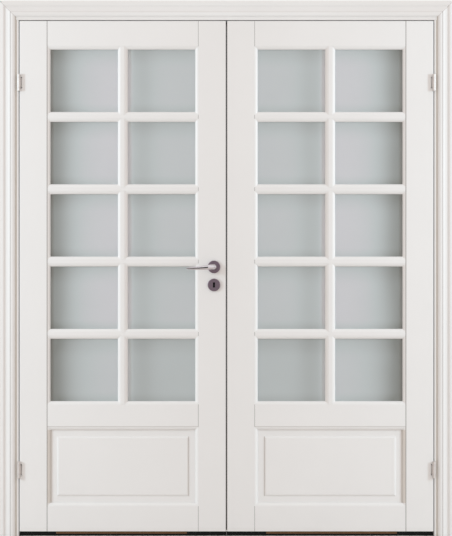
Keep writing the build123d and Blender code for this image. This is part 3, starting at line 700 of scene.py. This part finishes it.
def finished(mesh: BMesh, name: str, material: Material, body: str,
             smooth_below: float = 35.0) -> Object:
    """Turns a finished bmesh into a piece that rides on a body.

    Args:
        mesh: the mesh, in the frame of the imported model.
        name: the piece's name.
        material: its finish.
        body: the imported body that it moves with.
        smooth_below: the angle in degrees up to which an edge is shaded smooth.

    Returns:
        The piece.
    """
    bmesh.ops.remove_doubles(mesh, verts=mesh.verts, dist=MERGE_DISTANCE)
    bmesh.ops.recalc_face_normals(mesh, faces=mesh.faces)
    for face in mesh.faces:
        face.smooth = True
    for edge in mesh.edges:
        if len(edge.link_faces) == 2 and edge.calc_face_angle() > math.radians(smooth_below):
            edge.smooth = False
    piece = add_object(mesh, name, material)
    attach(piece, body)
    LOG.info("%s: %d faces on %s", name, len(piece.data.polygons), body)
    return piece


def add_block(mesh: BMesh, low: Vector, high: Vector) -> list[BMVert]:
    """Adds a block between two corners, ready for bevels.

    Args:
        mesh: the mesh that it goes into.
        low: its lowest corner.
        high: its highest corner.

    Returns:
        Its points.
    """
    place = Matrix.Translation((low + high) / 2) @ Matrix.Diagonal((*(high - low), 1))
    return bmesh.ops.create_cube(mesh, size=1.0, matrix=place)["verts"]


def soften(mesh: BMesh, edges: list[BMEdge], radius: float) -> None:
    """Rounds edges in two steps.

    Args:
        mesh: their mesh.
        edges: the edges.
        radius: how far the rounding reaches.
    """
    bmesh.ops.bevel(mesh, geom=edges, offset=radius, segments=2, profile=0.5, material=-1,
                    affect="EDGES")


def new_verts(made: dict[str, list[Any]]) -> list[BMVert]:
    """The points among what an operator has made."""
    return [item for item in made["geom"] if isinstance(item, BMVert)]


@dataclass
class CrossHeadScrew:
    """A countersunk screw with a cross recess, let in flush with its plate."""

    head_radius: float = 3.6 * MM
    head_depth: float = 1.8 * MM
    proud: float = 0.15 * MM
    shank_share: float = 0.5
    recess_depth: float = 1.1 * MM
    recess_taper: float = 0.72
    cells: int = 7
    arm_cells: int = 5
    turn_step: float = 37.0
    hinge_spacing: float = 44.0 * MM
    hinge_line: float = 0.4

    def add_to(self, mesh: BMesh, place: Vector, outward: Vector, turn: float) -> None:
        """Adds one screw to a mesh.

        Args:
            mesh: the mesh that collects the screws.
            place: the middle of the head, on the plate's face.
            outward: the way the head faces.
            turn: how far the recess is turned, in degrees.
        """
        verts = bmesh.ops.create_grid(mesh, x_segments=self.cells, y_segments=self.cells,
                                      size=1.0)["verts"]
        for vert in verts:
            x, y = vert.co.x, vert.co.y
            disc = Vector((x * math.sqrt(1 - y * y / 2), y * math.sqrt(1 - x * x / 2), 0))
            vert.co = disc * self.head_radius
        faces = list(dict.fromkeys(face for vert in verts for face in vert.link_faces))
        half = self.arm_cells / self.cells * self.head_radius
        thin = self.head_radius / self.cells
        arms = []
        for face in faces:
            middle = face.calc_center_median()
            across, along = sorted((abs(middle.x), abs(middle.y)))
            if across < thin and along < half:
                arms.append(face)
        rim = dict.fromkeys(edge for face in faces for edge in face.edges if edge.is_boundary)
        floor = new_verts(bmesh.ops.extrude_face_region(mesh, geom=arms))
        skirt = bmesh.ops.extrude_edge_only(mesh, edges=list(rim))
        under = new_verts(skirt)
        for points, depth, share in ((floor, self.recess_depth, self.recess_taper),
                                     (under, self.head_depth, self.shank_share)):
            bmesh.ops.translate(mesh, verts=points, vec=-UP * depth)
            bmesh.ops.scale(mesh, verts=points, vec=Vector((share, share, 1)))
        bmesh.ops.delete(mesh, geom=arms, context="FACES_ONLY")
        edges = [item for item in skirt["geom"]
                 if isinstance(item, BMEdge) and item.is_boundary]
        bmesh.ops.contextual_create(mesh, geom=edges)
        facing = outward.to_track_quat("Z", "Y").to_matrix().to_4x4()
        placed = (Matrix.Translation(place + outward * self.proud) @ facing
                  @ Matrix.Rotation(math.radians(turn), 4, "Z"))
        bmesh.ops.transform(mesh, matrix=placed, verts=verts + floor + under)

    def hinge_pair(self, node: str, front: float, face: float,
                   outward: Vector) -> list[tuple[Vector, Vector]]:
        """Two screws in a hinge plate, one above the other.

        Args:
            node: the hinge's node.
            front: the Y where the plate starts.
            face: the X of the plate's face.
            outward: the way out of it.

        Returns:
            Each screw's place and its way out.
        """
        low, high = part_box(node)
        depth = high.y - (high.y - front) * self.hinge_line
        middle, away = (low.z + high.z) / 2, self.hinge_spacing / 2
        return [(Vector((face, depth, middle + sign * away)), outward) for sign in (-1, 1)]

    def group(self, name: str, body: str, places: list[tuple[Vector, Vector]],
              material: Material, slot: str) -> None:
        """Makes a body's screws as one piece.

        Args:
            name: the piece's name.
            body: the body that carries the plates.
            places: each screw's place on its plate and the way out of it.
            material: their finish.
            slot: not used.
        """
        mesh = bmesh.new()
        for number, (place, outward) in enumerate(places):
            self.add_to(mesh, place, outward, number * self.turn_step)
        finished(mesh, name, material, body)


@dataclass
class Leaf:
    """One leaf: its woodwork, its glass and its half of the hinges."""

    side: Side
    palette: Palette
    screw: CrossHeadScrew = field(default_factory=CrossHeadScrew)
    hinges: tuple[str, ...] = ("lower_leaf_hinge", "upper_leaf_hinge")
    grub_inset: float = 9.6 * MM
    grub_spacing: float = 43.0 * MM
    grub_radius: float = 2.6 * MM
    grub_depth: float = 1.6 * MM
    grub_proud: float = 0.1 * MM
    grub_socket_inset: float = 0.45
    grub_socket_depth: float = 0.6
    seal_depth: float = 4.0 * MM
    seal_inset: float = 3.5 * MM
    seal_tip_gap: float = 0.15 * MM
    seal_end_gap: float = 2.0 * MM
    lip_inset: float = 4.0 * MM
    lip_thickness: float = 5.0 * MM
    lip_end_gap: float = 1.0 * MM
    lip_floor_gap: float = 1.0 * MM
    lip_split: float = 8.5 * MM
    lip_bevel: float = 0.8 * MM
    lip_outer_block: float = 145.0 * MM
    lip_inner_block: float = 158.0 * MM

    @property
    def body(self) -> str:
        """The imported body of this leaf."""
        return self.side.node("leaf")

    def screw_places(self) -> list[tuple[Vector, Vector]]:
        """Two screws in each hinge plate, on the plate's face in the leaf's edge.

        Returns:
            Each screw's place and its way out.
        """
        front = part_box(self.side.node("hinge_stile"))[0].y
        edge, outward = self.side.outer("hinge_stile"), Vector((self.side.value, 0, 0))
        pairs = [self.screw.hinge_pair(self.side.node(name), front, edge, outward)
                 for name in self.hinges]
        return sum(pairs, [])

    def meeting_seal(self) -> None:
        """The brush seal in the meeting edge, which closes half of the gap between the leaves."""
        low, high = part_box(self.side.node("meeting_stile"))
        edge, tip = self.side.inner("meeting_stile"), self.side.value * self.seal_tip_gap
        back = high.y - self.seal_inset
        mesh = bmesh.new()
        verts = add_block(
            mesh,
            Vector((min(edge, tip), back - self.seal_depth, low.z + self.seal_end_gap)),
            Vector((max(edge, tip), back, high.z - self.seal_end_gap)),
        )
        at_tip = {vert for vert in verts if abs(vert.co.x - tip) < self.seal_tip_gap / 2}
        tips = [edge for edge in mesh.edges
                if at_tip.issuperset(edge.verts) and edge.calc_length() > self.seal_depth * 2]
        soften(mesh, tips, self.seal_depth / 3)
        finished(mesh, self.side.node("meeting_seal"), self.palette.seal_brush, self.body)

    def drop_seal(self) -> None:
        """A brown strip under the rail between black end blocks, and a black blade to the floor:
        the black is painted shade for the floor in shadow under the stiles and the leaf, the brown
        painted light for the wooden floor lit through the glass.
        """
        way = self.side.value
        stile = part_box(self.side.node("hinge_stile"))[0]
        front, top, split = stile.y + self.lip_inset, stile.z, self.lip_split
        outer = self.side.outer("hinge_stile") - way * self.lip_end_gap
        inner = way * self.seal_tip_gap
        first, last = outer - way * self.lip_outer_block, inner + way * self.lip_inner_block
        thin = self.lip_thickness / 5
        blade = (outer, inner, self.lip_floor_gap, split, thin)
        blocks = [(outer, first, split, top, 0.0), (last, inner, split, top, 0.0)]
        for name, finish, strips in (
            ("drop_seal_carrier", self.palette.seal_brown, [(first, last, split, top, 0.0)]),
            ("drop_seal", self.palette.seal_black, [blade, *blocks]),
        ):
            mesh = bmesh.new()
            for start, end, bottom, height, thinner in strips:
                low = Vector((min(start, end), front + thinner, bottom))
                high = Vector((max(start, end), front + self.lip_thickness - thinner, height))
                under = {vert for vert in add_block(mesh, low, high)
                         if vert.co.z < (bottom + height) / 2}
                foot = [edge for edge in mesh.edges
                        if under.issuperset(edge.verts) and edge.calc_length() > self.lip_thickness]
                soften(mesh, foot, self.lip_bevel)
            finished(mesh, self.side.node(name), finish, self.body)

    def grub_screws(self) -> None:
        """Two small black socket screws beside each hinge's arm, at the ends of its notch."""
        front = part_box(self.side.node("hinge_stile"))[0].y
        across = self.side.outer("hinge_stile") - self.side.value * self.grub_inset
        depth = front + self.grub_depth / 2 - self.grub_proud
        turned = Matrix.Rotation(math.pi / 2, 4, "X")
        mesh = bmesh.new()
        for name in self.hinges:
            low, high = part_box(self.side.node(name))
            for sign in (-1, 1):
                verts = bmesh.ops.create_cone(
                    mesh, cap_ends=True, segments=20, radius1=self.grub_radius,
                    radius2=self.grub_radius, depth=self.grub_depth)["verts"]
                cap = next(face for vert in verts for face in vert.link_faces
                           if min(corner.co.z for corner in face.verts) > 0)
                bmesh.ops.inset_individual(mesh, faces=[cap],
                                           thickness=self.grub_radius * self.grub_socket_inset)
                socket = list(cap.verts)
                bmesh.ops.translate(mesh, verts=socket,
                                    vec=-UP * self.grub_depth * self.grub_socket_depth)
                height = (low.z + high.z) / 2 + sign * self.grub_spacing / 2
                place = Matrix.Translation((across, depth, height)) @ turned
                bmesh.ops.transform(mesh, matrix=place, verts=verts + socket)
        finished(mesh, self.side.node("grub_screws"), self.palette.grub_metal, self.body)

    def build(self) -> None:
        """Dresses the leaf and adds its seals and screws."""
        self.grub_screws()
        rails = ("top_rail", "lock_rail", "bottom_rail", *(f"cross_bar_{n}" for n in range(1, 5)))
        for finish, names in (
            (self.palette.paint, ("upright_bars", "glazing_beads")),
            (self.palette.stile_paint, ("hinge_stile",)),
            (self.palette.meeting_paint, ("meeting_stile",)),
            (self.palette.panel_paint, ("raised_panel",)),
            (self.palette.jointed_paint, rails),
            (self.palette.glass, ("glass_panes",)),
            (self.palette.hinge_metal, self.hinges),
        ):
            dress([self.side.node(name) for name in names], finish)
        self.meeting_seal()
        self.drop_seal()
        self.screw.group(self.side.node("leaf_hinge_screws"), self.body, self.screw_places(),
                         self.palette.screw_metal, "hinge_steel")


@dataclass
class DoorFrame:
    """The frame, its casings and seals, and the fixed halves of the hinges."""

    palette: Palette
    screw: CrossHeadScrew = field(default_factory=CrossHeadScrew)
    hinges: tuple[str, ...] = ("lower_frame_hinge", "upper_frame_hinge")
    hinge_gap: float = 3.0 * MM
    keeper_screw_inset: float = 9.0 * MM

    def screw_places(self) -> list[tuple[Vector, Vector]]:
        """Two screws in each fixed hinge plate, and two in the head's keeper.

        Returns:
            Each screw's place and its way out.
        """
        places = []
        for side in Side:
            rebate = side.outer("hinge_stile") + side.value * self.hinge_gap
            front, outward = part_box(side.node("jamb"))[0].y, Vector((-side.value, 0, 0))
            for name in self.hinges:
                places += self.screw.hinge_pair(side.node(name), front, rebate, outward)
        low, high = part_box("head_bolt_keeper")
        for x in (low.x + self.keeper_screw_inset, high.x - self.keeper_screw_inset):
            places.append((Vector((x, (low.y + high.y) / 2, low.z)), -UP))
        return places

    def build(self) -> None:
        """Dresses the frame and adds its screws."""
        casings = [face.node(f"{side.word}_casing") for face in Facing for side in Side]
        hinges = [side.node(name) for side in Side for name in self.hinges]
        for finish, names in (
            (self.palette.jamb_paint, ["left_jamb", "right_jamb"]),
            (self.palette.paint, ["head_jamb"]),
            (self.palette.casing_paint, casings),
            (self.palette.head_casing_paint, [face.node("head_casing") for face in Facing]),
            (self.palette.rubber, ["frame_seals"]),
            (self.palette.hinge_metal, hinges + ["hinge_pins"]),
            (self.palette.lock_metal, ["head_bolt_keeper"]),
        ):
            dress(names, finish)
        self.screw.group("frame_screws", "frame", self.screw_places(), self.palette.screw_metal,
                         "hinge_steel")


@dataclass
class LeverHandle:
    """A lever that grows from a round neck, bends and tapers to a soft point.

    Its sections are ellipses, listed as shares of the way along the grip with the half
    height there and how far the middle has sunk below the spindle, in millimetres.
    """

    face: Facing
    palette: Palette
    sections: tuple[tuple[float, float, float], ...] = (
        (0.0, 10.8, 0.0), (0.18, 10.0, 1.4), (0.34, 8.6, 3.2), (0.5, 7.7, 4.4), (0.66, 6.9, 5.0),
        (0.8, 5.8, 5.4), (0.9, 4.3, 5.7), (0.96, 2.8, 5.9), (1.0, 0.9, 6.0),
    )
    depth_share: float = 0.72
    neck_straight: float = 24.0 * MM
    elbow_radius: float = 27.0 * MM
    elbow_steps: int = 8
    grip_steps: int = 14
    tip_sections: int = 3
    ring_points: int = 36
    neck_sink: float = 1.0 * MM
    cut_back: float = 0.25 * MM
    smooth_below: float = 60.0

    def ring(self, mesh: BMesh, centre: Vector, along: Vector,
             half_height: float, half_depth: float) -> list[BMEdge]:
        """One section of the lever.

        Args:
            mesh: the mesh.
            centre: the section's middle.
            along: the way that the lever runs there.
            half_height: half its height.
            half_depth: half its thickness from front to back.

        Returns:
            The section's edges.
        """
        side = along.cross(UP).normalized()
        placed = Matrix((side * half_depth, UP * half_height, along)).transposed().to_4x4()
        placed.translation = centre
        made = bmesh.ops.create_circle(mesh, segments=self.ring_points, radius=1.0, matrix=placed)
        return list(dict.fromkeys(edge for vert in made["verts"] for edge in vert.link_edges))

    def section_at(self, share: float) -> tuple[float, float]:
        """The section between those listed.

        Args:
            share: the share of the way along the grip.

        Returns:
            Half its height, and how far its middle has sunk.
        """
        for (start, half, drop), (end, next_half, next_drop) in zip(self.sections,
                                                                    self.sections[1:]):
            if share <= end:
                part = (share - start) / (end - start)
                half, drop = half + (next_half - half) * part, drop + (next_drop - drop) * part
                break
        else:
            half, drop = self.sections[-1][1:]
        return half * MM, drop * MM

    def build(self) -> None:
        """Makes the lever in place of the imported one."""
        node = self.face.node("lever")
        low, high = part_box(node)
        rose_low, rose_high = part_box(self.face.node("rose"))
        spindle = (rose_low + rose_high) / 2
        out = self.face.value
        door = low.y if self.face is Facing.BACK else high.y
        reach = (high.y - low.y) - self.neck_sink
        length = spindle.x - low.x
        mesh = bmesh.new()
        rings = []
        neck = self.sections[0][1] * MM - self.cut_back
        for away in (self.neck_sink, self.neck_straight):
            centre = Vector((spindle.x, door + out * away, spindle.z))
            rings.append(self.ring(mesh, centre, Vector((0, out, 0)), neck, neck))
        elbow = min(self.elbow_radius, reach - self.neck_straight - neck * self.depth_share)
        for step in range(1, self.elbow_steps + 1):
            turned = math.pi / 2 * step / self.elbow_steps
            run = elbow * (1 - math.cos(turned))
            half, drop = self.section_at(run / length)
            thick = half * (1 + (self.depth_share - 1) * step / self.elbow_steps)
            away = self.neck_straight + elbow * math.sin(turned)
            centre = Vector((spindle.x - run, door + out * away, spindle.z - drop))
            along = Vector((-math.sin(turned), out * math.cos(turned), 0))
            rings.append(self.ring(mesh, centre, along, half, thick))
        start = elbow / length
        outer_side = self.neck_straight + elbow + self.section_at(start)[0] * self.depth_share
        shares = [start + (1 - start) * step / self.grip_steps
                  for step in range(1, self.grip_steps - self.tip_sections + 1)]
        shares += [section[0] for section in self.sections[-self.tip_sections :]]
        for share in sorted(shares):
            half, drop = self.section_at(share)
            thick = half * self.depth_share
            centre = Vector((spindle.x - share * length, door + out * (outer_side - thick),
                             spindle.z - drop))
            rings.append(self.ring(mesh, centre, Vector((-1, 0, 0)), half, thick))
        for one, other in zip(rings, rings[1:]):
            bmesh.ops.bridge_loops(mesh, edges=one + other)
        for end in (rings[0], rings[-1]):
            bmesh.ops.contextual_create(mesh, geom=end)
        lever = finished(mesh, f"{node}_grip", self.palette.lever_metal, "lever_set",
                         self.smooth_below)
        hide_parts(node)


@dataclass
class LockSet:
    """The mortise lock, its levers and covers, the strike and the flush bolts."""

    palette: Palette
    screw: CrossHeadScrew = field(default_factory=CrossHeadScrew)
    end_inset: float = 9.0 * MM
    bolt_plate_height: float = 150.0 * MM
    works_radius: float = 12.0 * MM
    works_thickness: float = 2.4 * MM
    shutter_size: tuple[float, float, float] = (8.0 * MM, 0.6 * MM, 19.5 * MM)
    shutter_sink: float = 1.4 * MM

    def plate_screws(self, node: str, height: float | None = None) -> list[tuple[Vector, Vector]]:
        """Two screws near the ends of each upright plate of a node, which faces the meeting line.

        Args:
            node: the plate's node.
            height: one plate's height, where the node has two, one at each end.

        Returns:
            Each screw's place and its way out.
        """
        low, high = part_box(node)
        is_left = high.x < 0
        face, outward = high.x if is_left else low.x, Vector((1 if is_left else -1, 0, 0))
        levels = [low.z + self.end_inset, high.z - self.end_inset]
        if height is not None:
            levels += [low.z + height - self.end_inset, high.z - height + self.end_inset]
        return [(Vector((face, (low.y + high.y) / 2, level)), outward) for level in levels]

    def keyway_works(self) -> None:
        """The lever pack inside the case, and a black block just inside each keyhole, both black as
        painted shade so that the keyholes look dark.
        """
        low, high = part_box("front_escutcheon")
        case_low, case_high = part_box("lock_case")
        middle = Vector(((low.x + high.x) / 2, (case_low.y + case_high.y) / 2,
                         (low.z + high.z) / 2))
        mesh = bmesh.new()
        place = Matrix.Translation(middle) @ Matrix.Rotation(math.pi / 2, 4, "X")
        bmesh.ops.create_cone(mesh, cap_ends=True, segments=24, radius1=self.works_radius,
                              radius2=self.works_radius, depth=self.works_thickness, matrix=place)
        half = Vector(self.shutter_size) / 2
        for face in Facing:
            cover_low, cover_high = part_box(face.node("escutcheon"))
            outer = cover_low.y if face is Facing.FRONT else cover_high.y
            centre = Vector((middle.x, outer - face.value * self.shutter_sink, middle.z))
            add_block(mesh, centre - half, centre + half)
        finished(mesh, "lock_lever_pack", self.palette.shutter, "left_leaf")

    def build(self) -> None:
        """Dresses the lock and its fittings, and adds their screws."""
        for face in Facing:
            LeverHandle(face, self.palette).build()
        covers = [face.node(cover) for face in Facing for cover in ("rose", "escutcheon")]
        dress(covers, self.palette.rose_metal)
        dress(["lock_case", "latch_bolt", "dead_bolt", "strike_plate", "flush_bolt_plates",
               "top_flush_bolt", "bottom_flush_bolt", "lever_spindle"], self.palette.lock_metal)
        self.keyway_works()
        strike = self.plate_screws("strike_plate")
        bolts = self.plate_screws("flush_bolt_plates", self.bolt_plate_height)
        for name, body, places in (
            ("forend_screws", "left_leaf", self.plate_screws("lock_case")),
            ("strike_and_bolt_screws", "right_leaf", strike + bolts),
        ):
            self.screw.group(name, body, places, self.palette.screw_metal, "lock_steel")


@dataclass
class Lamp:
    """One soft box of the studio, with the pieces that it is flagged to."""

    name: str
    aim: Vector
    way: Vector
    distance: float
    size: float
    power: float
    colour: str
    reached: list[str]

    def build(self) -> None:
        """Makes the lamp."""
        data = bpy.data.lights.new(self.name, "AREA")
        data.shape = "SQUARE"
        data.size = self.size
        data.energy = self.power
        data.color = linear(self.colour)[:3]
        lamp = bpy.data.objects.new(self.name, data)
        bpy.context.scene.collection.objects.link(lamp)
        lamp.location = self.aim + self.way * self.distance
        lamp.rotation_mode = "QUATERNION"
        lamp.rotation_quaternion = (-self.way).to_track_quat("-Z", "Y")
        group = bpy.data.collections.new(f"{self.name}_reach")
        for name in self.reached:
            group.objects.link(bpy.data.objects[name])
        lamp.light_linking.receiver_collection = group


@dataclass
class Studio:
    """Floor, backdrop, lamps and the camera at the photograph's view."""

    camera_distance: float = 8.0
    sensor: float = 36.0
    floor_reach: float = 7.0
    floor_drop: float = 1.0 * MM
    floor_coat: StageCoat = StageCoat("pale floor", "#E9E7E4", 0.7)
    key_angle: float = 61.0
    key_rise: float = 10.0
    key_distance: float = 4.5
    key_power: float = 84.0
    key_size: float = 0.42
    key_colour: str = "#DCF3FF"
    key_aim_side: float = 0.42
    key_aim_height: float = 1.07
    head_power: float = 38.0
    head_rise: float = -24.0
    card_distance: float = 2.6
    card_width: float = 0.7
    card_height: float = 2.5
    card_aside: float = -0.3
    card_coat: StageCoat = StageCoat("black card", "#0E0C0C", 0.9)
    world_light: float = 0.92
    world_colour: str = "#FFF8F4"

    def camera(self) -> None:
        """A long lens square on to the doors, which frames them as the photograph does."""
        low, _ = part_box("left_hinge_stile")
        data = bpy.data.cameras.new("camera")
        data.sensor_width = self.sensor
        data.lens = self.sensor * self.camera_distance / (PHOTO_HEIGHT * METRES_PER_PIXEL)
        camera = bpy.data.objects.new("camera", data)
        bpy.context.scene.collection.objects.link(camera)
        across = (PHOTO_WIDTH / 2 - PHOTO_MIDDLE_LINE) * METRES_PER_PIXEL
        height = PHOTO_HEIGHT / 2 * METRES_PER_PIXEL
        camera.location = (across, low.y - self.camera_distance, height)
        camera.rotation_euler = (math.pi / 2, 0, 0)
        bpy.context.scene.camera = camera

    @staticmethod
    def sheet(name: str, half: float, place: Matrix, coat: StageCoat) -> Object:
        """A flat square sheet of the stage.

        Args:
            name: its name.
            half: half its side.
            place: what turns, stretches and moves it from the floor's middle.
            coat: its finish.

        Returns:
            The sheet.
        """
        mesh = bmesh.new()
        bmesh.ops.create_grid(mesh, x_segments=1, y_segments=1, size=half, matrix=place)
        return add_object(mesh, name, coat.build())

    def floor(self) -> None:
        """A plain pale floor."""
        place = Matrix.Translation(-UP * self.floor_drop)
        self.sheet("floor", self.floor_reach, place, self.floor_coat)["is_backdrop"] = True

    def dark_card(self) -> None:
        """A dark card in front, which only reflections see: it draws the dark in polished metal."""
        low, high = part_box("front_lever")
        middle = Vector((self.card_aside, low.y - self.card_distance, (low.z + high.z) / 2))
        place = (Matrix.Translation(middle) @ Matrix.Rotation(math.pi / 2, 4, "X")
                 @ Matrix.Diagonal((self.card_width, self.card_height, 1, 1)))
        card = self.sheet("dark_card", 0.5, place, self.card_coat)
        card.visible_camera = card.visible_diffuse = False
        card.visible_transmission = card.visible_shadow = False
        card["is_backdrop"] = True

    def world(self) -> None:
        """Even light from all round, and white behind the doors for the eye, metal and glass."""
        world = bpy.data.worlds.new("studio")
        bpy.context.scene.world = world
        world.use_nodes = True
        tree = world.node_tree
        tree.nodes.clear()
        path = add_node(tree, "ShaderNodeLightPath").outputs
        seen = Measure(path["Is Camera Ray"])
        for other in ("Is Glossy Ray", "Is Transmission Ray"):
            seen = seen.step("MAXIMUM", path[other])
        ambient, white = (
            add_node(tree, "ShaderNodeBackground", inputs={"Color": colour, "Strength": strength})
            for colour, strength in ((linear(self.world_colour), self.world_light),
                                     ((1, 1, 1, 1), 1.0))
        )
        mix = add_node(tree, "ShaderNodeMixShader", inputs={
            0: seen, 1: ambient.outputs[0], 2: white.outputs[0],
        })
        add_node(tree, "ShaderNodeOutputWorld", inputs={"Surface": mix.outputs[0]})

    @staticmethod
    def way(turn: float, rise: float) -> Vector:
        """The way from the front of the doors to a lamp.

        Args:
            turn: how far it turns to the right, in degrees.
            rise: how far it rises, in degrees.

        Returns:
            The way, one long.
        """
        turn, rise = math.radians(turn), math.radians(rise)
        level = math.cos(rise)
        return Vector((math.sin(turn) * level, -math.cos(turn) * level, math.sin(rise)))

    def lamps(self) -> None:
        """A key at the hinge side of each leaf, flagged off the other, and one for the head."""
        names = [piece.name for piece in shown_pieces()]
        head = [name for name in names if "head" in name.split("_")]
        handles = [name for name in names
                   if name.split("_")[0] in ("front", "back") and "casing" not in name]
        for side in Side:
            flagged = Side(-side.value).word
            reached = [name for name in names if flagged not in name.split("_")
                       and name not in head and (side is Side.LEFT or name not in handles)]
            aim = Vector((side.value * self.key_aim_side, 0, self.key_aim_height))
            Lamp(side.node("key"), aim, self.way(side.value * self.key_angle, self.key_rise),
                 self.key_distance, self.key_size, self.key_power, self.key_colour,
                 reached).build()
        aim = Vector((0, 0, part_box("head_jamb")[0].z))
        Lamp("head_key", aim, self.way(0.0, self.head_rise), self.key_distance, self.key_size,
             self.head_power, self.key_colour, head).build()

    def build(self) -> None:
        """Sets up the whole studio."""
        self.camera()
        self.floor()
        self.dark_card()
        self.world()
        self.lamps()
        bpy.context.scene.view_settings.view_transform = "Standard"


def painted() -> dict[str, Finish]:
    """The paints, alike but for the hairlines that show on each kind of piece: cracks at the
    joints, and painted shade in quirks, grooves, corners and gaps.

    Returns:
        Each paint by its name in the palette.
    """
    mitre = Hairline(Run.MITRE, 0.0, 0.5 * MM, "#A9A29E")
    return {
        "paint": SatinPaint("satin white paint"),
        # Painted shade on the jambs, where the casings cast their shadow
        "jamb_paint": SatinPaint("satin white paint dusty by the casing", (
            Hairline(Run.UPRIGHT, JAMB_BAND, 3.5 * MM, "#D1CCC5"),
        )),
        # Painted shade beside the panels, where the moulding lies in shadow, and a painted shadow
        # line along the moulding's edge on the shoulder line of the rails
        "stile_paint": SatinPaint("satin white paint thin in the quirk", (
            Hairline(Run.UPRIGHT, PANEL_MOULDING, 5.0 * MM, "#DAD5CF", ends=PANEL_ENDS),
            Hairline(Run.UPRIGHT, HINGE_JOINT, 0.8 * MM, "#827D7A"),
        )),
        # Painted shade: a dark line down the middle, on the front of the meeting edges, where the
        # gap between the leaves lies in shadow
        "meeting_paint": SatinPaint("satin white paint rubbed at the arris", (
            Hairline(Run.UPRIGHT, MEETING_EDGE, 0.7 * MM, "#57514E", depth=SHADED_ARRIS_DEPTH),
        )),
        # Painted shade in the panels' grooves and along the fields' edges
        "panel_paint": SatinPaint("satin white panel paint", (
            Hairline(Run.UPRIGHT, PANEL_GROOVE, 1.7 * MM, "#CCC7C1"),
            Hairline(Run.UPRIGHT, FIELD_EDGE, 0.8 * MM, "#BCB7B4", ends=FIELD_ENDS),
        )),
        # Cracks where rails and bars end against the stiles, and a painted shadow line along the
        # lock rail's moulding above the panels
        "jointed_paint": SatinPaint("satin white paint cracked at the joints", (
            Hairline(Run.UPRIGHT, HINGE_JOINT, 1.0 * MM, "#6F6A67"),
            Hairline(Run.UPRIGHT, MEETING_JOINT, 1.0 * MM, "#6F6A67"),
            Hairline(Run.LEVEL, RAIL_QUIRK, 0.6 * MM, "#B8B3AF", ends=(MEETING_JOINT, HINGE_JOINT)),
        )),
        # A little glossier than the leaves, with a painted shadow line in the quirk and a dark
        # joint line at the mitres
        "casing_paint": SatinPaint("satin white casing paint", (
            Hairline(Run.CASING, CASING_QUIRK, 0.8 * MM, "#A9A29E"), mitre,
        ), roughness=0.38),
        # The head casing: a fainter painted shadow line in the quirk, and the dark mitre line
        "head_casing_paint": SatinPaint("satin white paint on the head casing", (
            Hairline(Run.CASING, CASING_QUIRK, 0.4 * MM, "#D8D4D1"), mitre,
        ), roughness=0.38),
    }


def make_palette() -> Palette:
    """Builds every finish, with the patterns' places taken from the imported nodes.

    Returns:
        The finishes.
    """
    bar_low, bar_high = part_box("left_cross_bar_1")
    next_low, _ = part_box("left_cross_bar_2")
    rose, key = (sum(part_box(node), Vector()) / 2 for node in ("front_rose", "front_escutcheon"))
    finishes = painted() | {
        # Frosted, with painted shade that makes it darker towards the hinges
        "glass": EtchedGlass("acid etched glass", bar_high.z - bar_low.z, bar_high.z,
                             next_low.z - bar_low.z),
        # A broad soft grey sheen
        "hinge_metal": WorkedMetal("zinc plated steel", "#DCD5D1", 0.52, Brushing.ALONG_Z),
        # Covers whose colour is darkened as a painted reflection of the dark in front, besides the
        # black card that they mirror, with fine turned rings and painted black shade in the keyway
        "rose_metal": WorkedMetal("dark satin nickel", "#8D7C87", 0.36, Brushing.ROUND,
                                  scratch_mm=0.5, centres=((rose.x, rose.z), (key.x, key.z)),
                                  keyway=(key.x, key.z)),
        # Sharp reflections of the studio, with a dark streak along the grip
        "lever_metal": WorkedMetal("polished nickel", "#DCD6D9", 0.13, Brushing.ALONG_X,
                                   strength=0.1),
        # A warm, clear sheen
        "lock_metal": WorkedMetal("nickel plated steel", "#CFCBC6", 0.3, Brushing.ALONG_Z),
        # Bright heads in duller plates
        "screw_metal": WorkedMetal("bright zinc screws", "#D8D5CF", 0.28),
        # Dots that are nearly black
        "grub_metal": WorkedMetal("black oxide steel", "#12100F", 0.6),
        # Close to the paint, but matt
        "rubber": SealRubber("pale grey seal rubber", "#D5D3CF"),
        # A dark gap between the leaves
        "seal_brush": SealRubber("dark brush seal", "#1D1B1A", roughness=0.9, line_mm=0.25),
        # Painted light and shade under the leaves: a brown strip for the lit floor, between black
        # ends for the floor in shadow
        "seal_brown": SealRubber("brown strip of painted floor light", "#62442B", roughness=0.7),
        "seal_black": SealRubber("black rubber of painted shade", "#080808", roughness=0.9),
        # Black as painted shade behind the keyholes
        "shutter": SealRubber("matt black keyhole shade", "#070606", roughness=0.95),
    }
    return Palette(**{name: finish.build() for name, finish in finishes.items()})


def main() -> None:
    """Loads the frame, dresses each sub-assembly and sets up the studio."""
    logging.basicConfig(level=logging.INFO, format="%(message)s")
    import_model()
    palette = make_palette()
    DoorFrame(palette).build()
    for side in Side:
        Leaf(side, palette).build()
    LockSet(palette).build()
    Studio().build()


if __name__ == "__main__":
    main()
